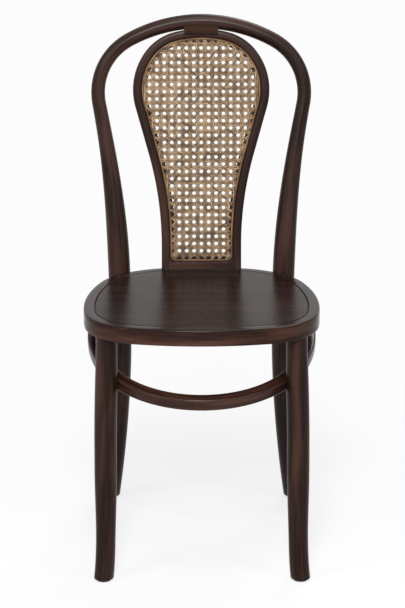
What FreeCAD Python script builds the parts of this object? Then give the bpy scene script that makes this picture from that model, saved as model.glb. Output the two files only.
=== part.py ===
import FreeCAD, Part

import math
import os

from FreeCAD import Matrix, Placement, Rotation, Vector

# Bentwood bistro chair, in millimetres, +Z up, the sitter facing -Y.
# Every function below measures y from the middle of the seat. The finished pieces are moved
# forward by SEAT_SETBACK, so that the origin lies on the floor under the middle of the chair.
SEAT_SETBACK = 44.3

# Seat
SEAT_HEIGHT = 455.0
RIM_THICKNESS = 28.8
RIM_WIDTH = 40.0
RIM_TOP_ROUND = 5.5
RIM_BOTTOM_ROUND = 3.5
SEAT_HALF_WIDTH = 206.0
SEAT_FRONT_REACH = 204.5
SEAT_REAR_REACH = 208.7
SEAT_WIDEST_Y = -38.5
FRONT_EDGE_RADIUS = 492.0
FRONT_CORNER_RADIUS = 114.0
SIDE_EDGE_RADIUS = 451.0
REAR_CORNER_RADIUS = 145.0
REAR_EDGE_RADIUS = 338.0
PANEL_INSET = 20.5
PANEL_THICKNESS = 7.0
JOINT_BEVEL = 0.9

# Back hoop and rear legs, bent from one tapered rod
HOOP_BASE_HALF_WIDTH = 150.2
HOOP_BASE_HEADING = math.radians(2.0)
HOOP_FLARE_RADIUS = 1857.0
HOOP_FLARE_TURN = math.radians(8.44)
HOOP_STRAIGHT = 34.0
HOOP_SHOULDER_RADIUS = 108.6
HOOP_SHOULDER_TURN = math.radians(71.8)
HOOP_LEAN = math.radians(12.9)
HOOP_SEAT_Y = 180.0
HOOP_BEND_START = 400.0
HOOP_BEND_LENGTH = 100.0
HOOP_STEPS = (7, 8, 4)
ROD_RADIUS_SEAT = 20.0
ROD_RADIUS_SIDE = 12.6
ROD_RADIUS_CROWN = 13.3
REAR_FOOT_SPLAY_BACK = 50.0
REAR_FOOT_BACK_POWER = 1.6
REAR_FOOT_SPLAY_OUT = 24.2
REAR_FOOT_OUT_POWER = 1.82
REAR_FOOT_RADIUS = 17.2
REAR_LEG_TAPER_POWER = 1.5
REAR_LEG_HALF_WIDTH = 148.6
REAR_SPLAY_START = 330.0
REAR_LEG_STATIONS = (-8.0, 30.0, 75.0, 125.0, 180.0, 240.0, 300.0, 355.0, 400.0, 430.0)

# Front legs
FRONT_LEG_X = 163.3
FRONT_LEG_LEAN_OUT = 3.2
FRONT_LEG_LEAN_SHARE = 0.45
FRONT_FOOT_KICK_OUT = 4.8
FRONT_FOOT_KICK_POWER = 12
FRONT_FOOT_FORWARD = 54.0
FRONT_FOOT_FORWARD_POWER = 1.5
FRONT_LEG_TOP_RADIUS = 18.3
FRONT_LEG_SWELL = 1.2
FRONT_LEG_SWELL_SHARE = 0.25
FRONT_LEG_TAPER = 2.5
FRONT_LEG_TAPER_START = 0.55
FRONT_LEG_TAPER_SHARE = 0.3
FRONT_LEG_STATIONS = (395.0, 350.0, 300.0, 240.0, 190.0, 140.0, 95.0, 55.0, 25.0, 0.0, -8.0)
LEG_TENON_RADIUS = 10.0
LEG_TENON_LENGTH = 18.0

# Leg hoop, a U-shaped bow that ties the four legs together
BOW_HALF_WIDTH = 191.5
BOW_HALF_DEPTH = 214.0
BOW_MIDDLE_Y = 20.0
BOW_FRONT_HEIGHT = 324.0
BOW_TILT = math.radians(14.5)
BOW_REACH = math.radians(131.5)
BOW_STATIONS = 24
BOW_SECTION = 21.5
BOW_SECTION_ROUND = 4.5
BOW_SHOULDER_FILL = 1.6
BOW_TENON_ANGLE = math.radians(130.0)
BOW_TENON_RADIUS = 6.0
BOW_TENON_LENGTH = 14.0

# Caned frame inside the hoop
FRAME_HALF_WIDTH = 72.8
FRAME_STRAIGHT = 42.5
FRAME_FLARE_RADIUS = 616.0
FRAME_FLARE_TURN = math.radians(15.77)
FRAME_UPPER_STRAIGHT = 88.5
FRAME_SHOULDER_RADIUS = 115.8
FRAME_SHOULDER_TURN = math.radians(53.3)
FRAME_CROWN_RADIUS = 94.2
FRAME_CROWN_TURN = math.radians(38.1)
FRAME_BASE_Y = 195.4
FRAME_LEAN = math.radians(11.2)
FRAME_DEPTH = 15.0
FRAME_FACE = 16.0
FRAME_LIP = 9.0
FRAME_OUTER_ROUND = 5.5
FRAME_INNER_BEVEL = 3.0
FRAME_BACK_ROUND = 1.5
LIP_RECESS = 4.0
GROOVE_WIDTH = 4.0
GROOVE_DEPTH = 2.6
RAIL_HEIGHT = 13.5
RAIL_CORNER_RADIUS = 11.0

# Cane net
CANE_THICKNESS = 1.4
CANE_PITCH_ACROSS = 13.45
CANE_PITCH_UP = 13.1
CANE_HOLE = 6.8
CANE_HOLE_SIDES = 8
CANE_BORDER = 6.6
CANE_FIRST_ROW = 35.5

# Spacer between hoop and frame
SPACER_HALF_WIDTH = 31.0
SPACER_HEIGHT = 19.0
SPACER_DEPTH = 21.0
SPACER_SCREW_X = 14.0

# Fasteners
SCREW_RADIUS = 2.2
SCREW_HEAD_RADIUS = 4.2
SCREW_HEAD_HEIGHT = 2.6
PLUG_RADIUS = 5.0
PLUG_LENGTH = 6.0
BOLT_RADIUS = 4.0
BOLT_HEAD_RADIUS = 9.5
BOLT_HEAD_HEIGHT = 3.6
BOLT_SEAT_DEPTH = 3.0
WASHER_RADIUS = 9.0
WASHER_THICKNESS = 1.6
NUT_ACROSS_FLATS = 13.0
NUT_HEIGHT = 6.5
BOLT_POINT_PAST_NUT = 3.0
DOWEL_RADIUS = 4.0
DOWEL_LENGTH = 32.0
RAIL_DOWEL_RADIUS = 3.0
RAIL_DOWEL_LENGTH = 34.0
RAIL_SCREW_X = 30.0
RAIL_SCREW_LENGTH = 38.0
GLIDE_HEIGHT = 3.5
GLIDE_RADIUS = 13.0
GLIDE_BEVEL = 1.2
NAIL_RADIUS = 1.6
NAIL_HEAD_RADIUS = 4.0
NAIL_HEAD_HEIGHT = 1.2
NAIL_HEAD_RECESS = 0.8
NAIL_LENGTH = 17.0

SIDES = (("left", -1), ("right", 1))
UNDERSIDE = SEAT_HEIGHT - RIM_THICKNESS


def smooth(value):
    """Rise gently from 0 to 1 while value goes from 0 to 1."""
    value = min(max(value, 0.0), 1.0)
    return value * value * (3.0 - 2.0 * value)


def cylinder(start, direction, radius, length):
    """Solid cylinder from start along direction."""
    return Part.makeCylinder(radius, length, start, direction)


def mirrored(shape):
    """Copy of a right-hand shape on the left-hand side."""
    return shape.mirror(Vector(0, 0, 0), Vector(1, 0, 0))


def both_sides(shape):
    """A right-hand shape and its left-hand twin as one group."""
    return Part.makeCompound([shape, mirrored(shape)])


class Trail:
    """Chain of tangent lines and arcs in a plane; heading 0 is +Y and turns right to +X."""

    def __init__(self, x, y, heading):
        self.x = x
        self.y = y
        self.heading = heading
        self.edges = []

    def line(self, length):
        end_x = self.x + length * math.sin(self.heading)
        end_y = self.y + length * math.cos(self.heading)
        self.edges.append(Part.LineSegment(Vector(self.x, self.y, 0), Vector(end_x, end_y, 0)).toShape())
        self.x = end_x
        self.y = end_y

    def point_on_arc(self, radius, turn):
        """Point reached after turning; a positive turn goes right, a negative one left."""
        side = math.copysign(1.0, turn)
        heading = self.heading + turn
        x = self.x + radius * side * (math.cos(self.heading) - math.cos(heading))
        y = self.y + radius * side * (math.sin(heading) - math.sin(self.heading))
        return x, y

    def arc(self, radius, turn):
        mid_x, mid_y = self.point_on_arc(radius, turn / 2.0)
        end_x, end_y = self.point_on_arc(radius, turn)
        curve = Part.Arc(Vector(self.x, self.y, 0), Vector(mid_x, mid_y, 0), Vector(end_x, end_y, 0))
        self.edges.append(curve.toShape())
        self.x = end_x
        self.y = end_y
        self.heading += turn


# Seat outline: ten tangent arcs, five on each side

def inner_tangent_centre(centre_a, radius_a, centre_b, radius_b, radius, side_y):
    """Centre of the arc that touches two larger arcs from inside, on the +X side."""
    reach_a = radius_a - radius
    reach_b = radius_b - radius
    gap = centre_b.sub(centre_a)
    distance = gap.Length
    along = (reach_a ** 2 - reach_b ** 2 + distance ** 2) / (2.0 * distance)
    across = math.sqrt(reach_a ** 2 - along ** 2)
    unit = gap.multiply(1.0 / distance)
    normal = Vector(-unit.y, unit.x, 0)
    foot = centre_a.add(Vector(unit).multiply(along))
    options = [foot.add(Vector(normal).multiply(across)), foot.sub(Vector(normal).multiply(across))]
    return max(options, key=lambda point: point.x + side_y * point.y)


def seat_arc_centres():
    """Centres of the five arcs of the right-hand half, front to rear."""
    front = Vector(0, FRONT_EDGE_RADIUS - SEAT_FRONT_REACH, 0)
    side = Vector(SEAT_HALF_WIDTH - SIDE_EDGE_RADIUS, SEAT_WIDEST_Y, 0)
    rear = Vector(0, SEAT_REAR_REACH - REAR_EDGE_RADIUS, 0)
    front_corner = inner_tangent_centre(
        front, FRONT_EDGE_RADIUS, side, SIDE_EDGE_RADIUS, FRONT_CORNER_RADIUS, -1)
    rear_corner = inner_tangent_centre(
        side, SIDE_EDGE_RADIUS, rear, REAR_EDGE_RADIUS, REAR_CORNER_RADIUS, 1)
    return front, front_corner, side, rear_corner, rear


def bearing(start, end):
    """Angle of the direction from start to end."""
    return math.atan2(end.y - start.y, end.x - start.x)


def seat_face(inset):
    """Flat face of the seat outline, moved inwards by inset, at z = 0."""
    front, front_corner, side, rear_corner, rear = seat_arc_centres()
    angles = [
        -math.pi / 2.0,
        bearing(front, front_corner),
        bearing(side, front_corner),
        bearing(side, rear_corner),
        bearing(rear, rear_corner),
        math.pi / 2.0,
    ]
    centres = [front, front_corner, side, rear_corner, rear]
    radii = [FRONT_EDGE_RADIUS, FRONT_CORNER_RADIUS, SIDE_EDGE_RADIUS, REAR_CORNER_RADIUS, REAR_EDGE_RADIUS]
    half = []
    for centre, radius, first, last in zip(centres, radii, angles[:-1], angles[1:]):
        circle = Part.Circle(centre, Vector(0, 0, 1), radius - inset)
        half.append(circle.toShape(first, last))
    other = [mirrored(edge) for edge in reversed(half)]
    return Part.Face(Part.Wire(Part.__sortEdges__(half + other)))


def seat_block(inset, bottom, top):
    """Upright block over the inset seat outline."""
    block = seat_face(inset).extrude(Vector(0, 0, top - bottom))
    block.translate(Vector(0, 0, bottom))
    return block


def edges_at_height(shape, height):
    """Edges that lie level at one height."""
    tolerance = 0.01
    found = []
    for edge in shape.Edges:
        box = edge.BoundBox
        if abs(box.ZMin - height) < tolerance and abs(box.ZMax - height) < tolerance:
            found.append(edge)
    return found


def make_seat_rim():
    """Bent rim with rounded edges, open in the middle and rebated for the panel."""
    blank = seat_block(0.0, UNDERSIDE, SEAT_HEIGHT)
    blank = blank.makeFillet(RIM_TOP_ROUND, edges_at_height(blank, SEAT_HEIGHT))
    blank = blank.makeFillet(RIM_BOTTOM_ROUND, edges_at_height(blank, UNDERSIDE))
    well = seat_block(RIM_WIDTH, UNDERSIDE - 1.0, SEAT_HEIGHT)
    rebate = seat_block(PANEL_INSET, SEAT_HEIGHT - PANEL_THICKNESS, SEAT_HEIGHT + 1.0)
    rim = blank.cut(well).cut(rebate)
    inner_edges = []
    for edge in edges_at_height(rim, SEAT_HEIGHT):
        middle = edge.valueAt((edge.FirstParameter + edge.LastParameter) / 2.0)
        if inset_depth(middle) > PANEL_INSET - 1.0:
            inner_edges.append(edge)
    return rim.makeChamfer(JOINT_BEVEL, inner_edges)


def inset_depth(point):
    """Distance of a point inwards from the seat outline."""
    front, front_corner, side, rear_corner, rear = seat_arc_centres()
    across = Vector(abs(point.x), point.y, 0)
    reaches = [
        FRONT_EDGE_RADIUS - across.distanceToPoint(front),
        SIDE_EDGE_RADIUS - across.distanceToPoint(side),
        REAR_EDGE_RADIUS - across.distanceToPoint(rear),
    ]
    for corner, radius, sign in ((front_corner, FRONT_CORNER_RADIUS, -1), (rear_corner, REAR_CORNER_RADIUS, 1)):
        if across.x > corner.x and sign * (across.y - corner.y) > 0:
            reaches.append(radius - across.distanceToPoint(corner))
    return min(reaches)


def make_seat_panel():
    """Plywood panel that fills the rebate, with a beveled top edge."""
    panel = seat_block(PANEL_INSET, SEAT_HEIGHT - PANEL_THICKNESS, SEAT_HEIGHT)
    return panel.makeChamfer(JOINT_BEVEL, edges_at_height(panel, SEAT_HEIGHT))


# Rods: a section carried square to a curve in space

def section_placement(point, tangent, front):
    """Placement whose Z runs along the tangent and whose X looks to the front."""
    axis = Vector(tangent)
    axis.normalize()
    x_axis = front.sub(Vector(axis).multiply(front.dot(axis)))
    x_axis.normalize()
    y_axis = axis.cross(x_axis)
    return Placement(Matrix(
        x_axis.x, y_axis.x, axis.x, point.x,
        x_axis.y, y_axis.y, axis.y, point.y,
        x_axis.z, y_axis.z, axis.z, point.z,
        0, 0, 0, 1))


def rod(points, radii, front):
    """Smooth solid through circles centred on the points."""
    wires = []
    for index, (point, radius) in enumerate(zip(points, radii)):
        before = points[max(index - 1, 0)]
        after = points[min(index + 1, len(points) - 1)]
        circle = Part.Wire(Part.makeCircle(radius))
        circle.Placement = section_placement(point, after.sub(before), front)
        wires.append(circle)
    return Part.makeLoft(wires, True, False)


def hoop_depth(z):
    """Front-to-back place of the hoop's centreline at a height."""
    rise = math.tan(HOOP_LEAN)
    if z < HOOP_BEND_START:
        return HOOP_SEAT_Y + REAR_FOOT_SPLAY_BACK * ((HOOP_BEND_START - z) / HOOP_BEND_START) ** REAR_FOOT_BACK_POWER
    if z < HOOP_BEND_START + HOOP_BEND_LENGTH:
        return HOOP_SEAT_Y + rise * (z - HOOP_BEND_START) ** 2 / (2.0 * HOOP_BEND_LENGTH)
    return HOOP_SEAT_Y + rise * (z - HOOP_BEND_START - HOOP_BEND_LENGTH / 2.0)


def rear_leg_point(z):
    """Centre of the right-hand rear leg at a height below the seat top."""
    if z < REAR_SPLAY_START:
        share = (REAR_SPLAY_START - z) / REAR_SPLAY_START
        x = REAR_LEG_HALF_WIDTH + REAR_FOOT_SPLAY_OUT * share ** REAR_FOOT_OUT_POWER
    else:
        share = (z - REAR_SPLAY_START) / (SEAT_HEIGHT - REAR_SPLAY_START)
        x = REAR_LEG_HALF_WIDTH + (HOOP_BASE_HALF_WIDTH - REAR_LEG_HALF_WIDTH) * share ** 2
    return Vector(x, hoop_depth(z), z)


def rear_leg_radius(z):
    """The leg is thickest at the seat and tapers to the foot."""
    share = 1.0 - z / SEAT_HEIGHT
    fall = max(share, 0.0) ** REAR_LEG_TAPER_POWER
    return ROD_RADIUS_SEAT - (ROD_RADIUS_SEAT - REAR_FOOT_RADIUS) * fall


def hoop_right_half():
    """Centre points and radii of the right half, from the seat top to the crown."""
    trail = Trail(HOOP_BASE_HALF_WIDTH, 0.0, HOOP_BASE_HEADING)
    flat = []
    flare_steps, shoulder_steps, crown_steps = HOOP_STEPS
    for step in range(flare_steps):
        flat.append(trail.point_on_arc(HOOP_FLARE_RADIUS, HOOP_FLARE_TURN * (step + 0.001) / flare_steps))
    trail.arc(HOOP_FLARE_RADIUS, HOOP_FLARE_TURN)
    flat.append((trail.x, trail.y))
    trail.line(HOOP_STRAIGHT)
    for step in range(shoulder_steps):
        flat.append(trail.point_on_arc(HOOP_SHOULDER_RADIUS, -HOOP_SHOULDER_TURN * (step + 0.001) / shoulder_steps))
    trail.arc(HOOP_SHOULDER_RADIUS, -HOOP_SHOULDER_TURN)
    remaining = math.pi / 2.0 + trail.heading
    crown_radius = trail.x / math.sin(remaining)
    for step in range(crown_steps):
        flat.append(trail.point_on_arc(crown_radius, -remaining * (step + 0.001) / crown_steps))
    flat.append(trail.point_on_arc(crown_radius, -remaining))
    widest = max(x for x, s in flat)
    widest_s = [s for x, s in flat if x == widest][0]
    points = []
    radii = []
    for x, s in flat:
        z = SEAT_HEIGHT + s * math.cos(HOOP_LEAN)
        points.append(Vector(x, hoop_depth(z), z))
        if s < widest_s:
            share = math.cos(math.pi / 2.0 * s / widest_s) ** 2
            radii.append(ROD_RADIUS_SIDE + (ROD_RADIUS_SEAT - ROD_RADIUS_SIDE) * share)
        else:
            share = smooth(1.0 - x / widest)
            radii.append(ROD_RADIUS_SIDE + (ROD_RADIUS_CROWN - ROD_RADIUS_SIDE) * share)
    return points, radii


def hoop_crown():
    """Centre of the rod at the top of the hoop."""
    return hoop_right_half()[0][-1]


def make_hoop_blank():
    """One bent rod: both rear legs and the back hoop, cut level at the feet."""
    leg_points = [rear_leg_point(z) for z in REAR_LEG_STATIONS]
    leg_radii = [rear_leg_radius(z) for z in REAR_LEG_STATIONS]
    upper_points, upper_radii = hoop_right_half()
    right_points = leg_points + upper_points
    right_radii = leg_radii + upper_radii
    left_points = [Vector(-p.x, p.y, p.z) for p in reversed(right_points[:-1])]
    left_radii = list(reversed(right_radii[:-1]))
    blank = rod(right_points + left_points, right_radii + left_radii, Vector(0, -1, 0))
    return blank.cut(below_glides())


def below_glides():
    """Everything under the level at which the feet are cut."""
    size = 1000.0
    return Part.makeBox(size, size, 100.0, Vector(-size / 2.0, -size / 2.0, GLIDE_HEIGHT - 100.0))


# Front legs

def front_leg_top():
    """Centre of the right-hand leg at the rim, in the middle of the rim's width."""
    y = SEAT_WIDEST_Y
    while inset_depth(Vector(FRONT_LEG_X, y, 0)) > RIM_WIDTH / 2.0:
        y -= 0.1
    return Vector(FRONT_LEG_X, y, UNDERSIDE)


def front_leg_point(z):
    """Centre of the right-hand front leg at a height."""
    top = front_leg_top()
    share = (UNDERSIDE - z) / UNDERSIDE
    lean = FRONT_LEG_LEAN_OUT * smooth(share / FRONT_LEG_LEAN_SHARE)
    x = top.x + lean + FRONT_FOOT_KICK_OUT * share ** FRONT_FOOT_KICK_POWER
    y = top.y - FRONT_FOOT_FORWARD * share ** FRONT_FOOT_FORWARD_POWER
    return Vector(x, y, z)


def front_leg_radius(z):
    """The leg swells a little below the rim and tapers towards the foot."""
    share = (UNDERSIDE - z) / UNDERSIDE
    swell = FRONT_LEG_SWELL * smooth(share / FRONT_LEG_SWELL_SHARE)
    taper = FRONT_LEG_TAPER * smooth((share - FRONT_LEG_TAPER_START) / FRONT_LEG_TAPER_SHARE)
    return FRONT_LEG_TOP_RADIUS + swell - taper


def make_front_leg():
    """Right-hand leg with its turned tenon."""
    points = []
    radii = []
    for z in (UNDERSIDE + 6.0, *FRONT_LEG_STATIONS):
        share_z = min(z, UNDERSIDE)
        point = front_leg_point(share_z)
        points.append(Vector(point.x, point.y, z))
        radii.append(front_leg_radius(share_z))
    leg = rod(points, radii, Vector(0, -1, 0))
    above_rim = Part.makeBox(400.0, 400.0, 50.0, Vector(0, -350.0, UNDERSIDE))
    leg = leg.cut(above_rim).cut(below_glides())
    tenon = cylinder(front_leg_top().sub(Vector(0, 0, 2.0)), Vector(0, 0, 1), LEG_TENON_RADIUS, LEG_TENON_LENGTH + 2.0)
    return leg.fuse(tenon).removeSplitter()


# Leg hoop

def bow_point(angle):
    """Centreline of the bow: an ellipse on a plane that rises towards the rear."""
    x = BOW_HALF_WIDTH * math.sin(angle)
    y = BOW_MIDDLE_Y - BOW_HALF_DEPTH * math.cos(angle)
    fill = BOW_SHOULDER_FILL * math.sin(2.0 * angle) ** 2 if abs(angle) < math.pi / 2.0 else 0.0
    x += math.copysign(fill, angle)
    y -= fill
    front_y = BOW_MIDDLE_Y - BOW_HALF_DEPTH
    z = BOW_FRONT_HEIGHT + (y - front_y) * math.tan(BOW_TILT)
    return Vector(x, y, z)


def rounded_square(size, radius):
    """Square wire with rounded corners, centred on the origin."""
    half = size / 2.0
    flat = half - radius
    bulge = flat + radius * math.sqrt(0.5)
    corners = [(1, 1), (-1, 1), (-1, -1), (1, -1)]
    edges = []
    for index, (sx, sy) in enumerate(corners):
        next_x, next_y = corners[(index + 1) % 4]
        if sx * sy > 0:
            start = Vector(sx * half, sy * flat, 0)
            end = Vector(sx * flat, sy * half, 0)
        else:
            start = Vector(sx * flat, sy * half, 0)
            end = Vector(sx * half, sy * flat, 0)
        edges.append(Part.Arc(start, Vector(sx * bulge, sy * bulge, 0), end).toShape())
        if next_x != sx:
            line_end = Vector(next_x * flat, sy * half, 0)
        else:
            line_end = Vector(sx * half, next_y * flat, 0)
        edges.append(Part.LineSegment(end, line_end).toShape())
    return Part.Wire(edges)


def make_bow_blank():
    """The bow before its ends are coped to the rear legs."""
    normal = Vector(0, -math.sin(BOW_TILT), math.cos(BOW_TILT))
    wires = []
    for step in range(BOW_STATIONS + 1):
        angle = BOW_REACH * (2.0 * step / BOW_STATIONS - 1.0)
        before = bow_point(angle - 0.01)
        after = bow_point(angle + 0.01)
        wire = rounded_square(BOW_SECTION, BOW_SECTION_ROUND)
        wire.Placement = section_placement(bow_point(angle), after.sub(before), normal)
        wires.append(wire)
    return Part.makeLoft(wires, True, False)


def bow_end():
    """Point and direction at which the right-hand end of the bow enters the rear leg."""
    point = bow_point(BOW_TENON_ANGLE)
    leg = rear_leg_point(point.z)
    direction = Vector(leg.x - point.x, leg.y - point.y, 0)
    distance = direction.Length
    direction.normalize()
    start = point.add(Vector(direction).multiply(distance - rear_leg_radius(point.z) - 3.0))
    return start, direction


def bow_tenon():
    """Round tenon at the right-hand end of the bow."""
    start, direction = bow_end()
    return cylinder(start, direction, BOW_TENON_RADIUS, BOW_TENON_LENGTH + 3.0)


def bow_screw_line():
    """Start and direction of the screw from inside the bow into the right-hand front leg."""
    best = None
    for step in range(400):
        angle = math.radians(20.0 + step * 0.15)
        point = bow_point(angle)
        leg = front_leg_point(point.z)
        gap = math.hypot(leg.x - point.x, leg.y - point.y)
        if best is None or gap < best[0]:
            best = (gap, point, leg)
    gap, point, leg = best
    direction = Vector(leg.x - point.x, leg.y - point.y, 0)
    direction.normalize()
    start = point.sub(Vector(direction).multiply(BOW_SECTION / 2.0))
    return start, direction


# Caned frame, drawn flat with x across, y up the frame and z towards the sitter

def frame_placement():
    """Placement that leans the flat drawing back and stands it on the seat."""
    lean = Rotation(Vector(1, 0, 0), 90.0 - math.degrees(FRAME_LEAN))
    return Placement(Vector(0, FRAME_BASE_Y, SEAT_HEIGHT), lean)


def frame_half_edges(inset, start_y):
    """Right-hand half of the frame outline, moved inwards by inset, from start_y up to the crown."""
    trail = Trail(FRAME_HALF_WIDTH - inset, start_y, 0.0)
    trail.line(FRAME_STRAIGHT - start_y)
    trail.arc(FRAME_FLARE_RADIUS + inset, FRAME_FLARE_TURN)
    trail.line(FRAME_UPPER_STRAIGHT)
    trail.arc(FRAME_SHOULDER_RADIUS - inset, -FRAME_SHOULDER_TURN)
    trail.arc(FRAME_CROWN_RADIUS - inset, -FRAME_CROWN_TURN)
    remaining = math.pi / 2.0 + trail.heading
    trail.arc(trail.x / math.sin(remaining), -remaining)
    return trail.edges


def frame_crown_height():
    """Height of the frame's outer edge at the crown, along the frame."""
    return frame_half_edges(0.0, 0.0)[-1].Vertexes[-1].Point.y


def opening_face(inset):
    """Face inside the frame: sides moved inwards by inset, with a rounded bottom above the rail."""
    bottom = RAIL_HEIGHT + inset - FRAME_FACE
    radius = RAIL_CORNER_RADIUS - (inset - FRAME_FACE)
    half_width = FRAME_HALF_WIDTH - inset
    trail = Trail(0.0, bottom, math.pi / 2.0)
    trail.line(half_width - radius)
    trail.arc(radius, -math.pi / 2.0)
    half = trail.edges + frame_half_edges(inset, bottom + radius)
    other = [mirrored(edge) for edge in half]
    return Part.Face(Part.Wire(Part.__sortEdges__(half + other)))


def opening_block(inset, back, front):
    """Block over the opening between two depths of the frame."""
    block = opening_face(inset).extrude(Vector(0, 0, front - back))
    block.translate(Vector(0, 0, back))
    return block


def frame_section():
    """Cross-section of the bent frame at its right-hand foot: x runs inwards from the outer edge."""
    half = FRAME_DEPTH / 2.0
    outer = FRAME_OUTER_ROUND
    face = FRAME_FACE
    full = FRAME_FACE + FRAME_LIP
    lip = half - LIP_RECESS
    groove = lip - GROOVE_DEPTH
    shift = outer * (1.0 - math.sqrt(0.5))
    back = FRAME_BACK_ROUND
    path = [
        Vector(outer, half, 0),
        Vector(face - FRAME_INNER_BEVEL, half, 0),
        Vector(face, half - FRAME_INNER_BEVEL, 0),
        Vector(face, groove, 0),
        Vector(face + GROOVE_WIDTH, groove, 0),
        Vector(face + GROOVE_WIDTH, lip, 0),
        Vector(full, lip, 0),
        Vector(full, back - half, 0),
        Vector(full - back, -half, 0),
        Vector(outer, -half, 0),
    ]
    edges = [Part.LineSegment(a, b).toShape() for a, b in zip(path[:-1], path[1:])]
    edges.append(Part.Arc(path[-1], Vector(shift, shift - half, 0), Vector(0, outer - half, 0)).toShape())
    edges.append(Part.LineSegment(Vector(0, outer - half, 0), Vector(0, half - outer, 0)).toShape())
    edges.append(Part.Arc(Vector(0, half - outer, 0), Vector(shift, half - shift, 0), path[0]).toShape())
    return Part.Wire(edges)


def make_frame_loop_flat():
    """Bent frame in the flat drawing, with feet that run below the seat top."""
    below = -6.0
    half = frame_half_edges(0.0, below)
    other = [mirrored(edge) for edge in half]
    path = Part.Wire(Part.__sortEdges__(half + other))
    section = frame_section()
    section.Placement = Placement(Matrix(
        -1, 0, 0, FRAME_HALF_WIDTH,
        0, 0, 1, below,
        0, 1, 0, 0,
        0, 0, 0, 1))
    return path.makePipeShell([section], True, False)


def above_seat(shape):
    """The part of a shape that stands on the seat."""
    under = Part.makeBox(400.0, 200.0, 60.0, Vector(-200.0, 100.0, SEAT_HEIGHT - 60.0))
    return shape.cut(under)


def make_frame_rail_flat(loop):
    """Bottom rail with rounded upper corners, shaped to fit between the two sides of the loop."""
    half = FRAME_DEPTH / 2.0
    lip = half - LIP_RECESS
    width = 2.0 * (FRAME_HALF_WIDTH - FRAME_FACE)
    height = RAIL_HEIGHT + RAIL_CORNER_RADIUS + 6.0
    block = Part.makeBox(width, height, FRAME_DEPTH, Vector(-width / 2.0, -6.0, -half))
    rail = block.cut(opening_block(FRAME_FACE, lip, half + 1.0))
    rail = rail.cut(opening_block(FRAME_FACE + FRAME_LIP, -half - 1.0, half + 1.0))
    ring = opening_block(FRAME_FACE, lip - GROOVE_DEPTH, lip + 1.0)
    ring = ring.cut(opening_block(FRAME_FACE + GROOVE_WIDTH, lip - GROOVE_DEPTH - 1.0, lip + 2.0))
    return rail.cut(ring).cut(loop)


def make_cane_panel_flat():
    """Cane net: one face with octagonal gaps, as thick as the woven cane."""
    lip = FRAME_DEPTH / 2.0 - LIP_RECESS
    outline = opening_face(FRAME_FACE + GROOVE_WIDTH)
    inner = opening_face(FRAME_FACE + GROOVE_WIDTH + CANE_BORDER)
    rows = int(frame_crown_height() / CANE_PITCH_UP) + 1
    columns = int(2.0 * FRAME_HALF_WIDTH / CANE_PITCH_ACROSS)
    wires = [outline.OuterWire]
    for row in range(rows):
        for column in range(-columns, columns + 1):
            centre = Vector(column * CANE_PITCH_ACROSS, CANE_FIRST_ROW + row * CANE_PITCH_UP, 0)
            if inner.isInside(centre, 0.01, True):
                wires.append(octagon(centre))
    sheet = Part.makeFace(wires, "Part::FaceMakerBullseye")
    panel = sheet.extrude(Vector(0, 0, CANE_THICKNESS))
    panel.translate(Vector(0, 0, lip))
    print("cane net gaps:", len(wires) - 1)
    return panel


def octagon(centre):
    """Outline of one gap of the net."""
    corners = []
    radius = CANE_HOLE / 2.0 / math.cos(math.pi / CANE_HOLE_SIDES)
    for index in range(CANE_HOLE_SIDES):
        angle = 2.0 * math.pi * (index + 0.5) / CANE_HOLE_SIDES
        corners.append(centre.add(Vector(radius * math.cos(angle), radius * math.sin(angle), 0)))
    return Part.makePolygon(corners + corners[:1])


def make_cane_spline_flat():
    """Reed strip pressed into the groove all round the net."""
    lip = FRAME_DEPTH / 2.0 - LIP_RECESS
    bottom = lip - GROOVE_DEPTH
    top = lip + CANE_THICKNESS + 0.4
    outside = opening_block(FRAME_FACE, bottom, top)
    inside = opening_block(FRAME_FACE + GROOVE_WIDTH, bottom - 1.0, top + 1.0)
    return outside.cut(inside)


def stand(shape):
    """Flat drawing to its place on the chair."""
    placed = shape.copy()
    placed.Placement = frame_placement().multiply(placed.Placement)
    return placed


# Fasteners

def screw(head_face, direction, length):
    """Wood screw from the outer face of its head."""
    head = cylinder(head_face, direction, SCREW_HEAD_RADIUS, SCREW_HEAD_HEIGHT)
    point_length = 3.0 * SCREW_RADIUS
    shank = cylinder(head_face, direction, SCREW_RADIUS, length - point_length)
    tip_start = head_face.add(Vector(direction).multiply(length - point_length))
    tip = Part.makeCone(SCREW_RADIUS, 0.4, point_length, tip_start, direction)
    return head.fuse(shank).fuse(tip)


def hoop_down():
    """Direction from the crown of the hoop down along its lean."""
    return Vector(0, -math.sin(HOOP_LEAN), -math.cos(HOOP_LEAN))


def spacer_screw_start():
    """Outer face of the plug over the right-hand spacer screw, above the hoop."""
    crown = hoop_crown()
    lift = Vector(hoop_down()).multiply(-ROD_RADIUS_CROWN - 1.0)
    return Vector(SPACER_SCREW_X, crown.y, crown.z).add(lift)


def rear_bolt_line():
    """Centre of the right-hand rear leg at the bolt and the direction towards the rim."""
    z = UNDERSIDE + 10.5
    leg = rear_leg_point(z)
    corner = seat_arc_centres()[3]
    direction = Vector(corner.x - leg.x, corner.y - leg.y, 0)
    direction.normalize()
    return leg, direction


def hexagon_nut(start, direction):
    """Nut with its bolt hole."""
    radius = NUT_ACROSS_FLATS / math.sqrt(3.0)
    corners = []
    for index in range(7):
        angle = math.radians(60.0 * index)
        corners.append(Vector(radius * math.cos(angle), radius * math.sin(angle), 0))
    body = Part.Face(Part.makePolygon(corners)).extrude(Vector(0, 0, NUT_HEIGHT))
    hole = Part.makeCylinder(BOLT_RADIUS, NUT_HEIGHT, Vector(0, 0, 0), Vector(0, 0, 1))
    nut = body.cut(hole)
    nut.Placement = Placement(start, Rotation(Vector(0, 0, 1), direction))
    return nut


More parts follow.
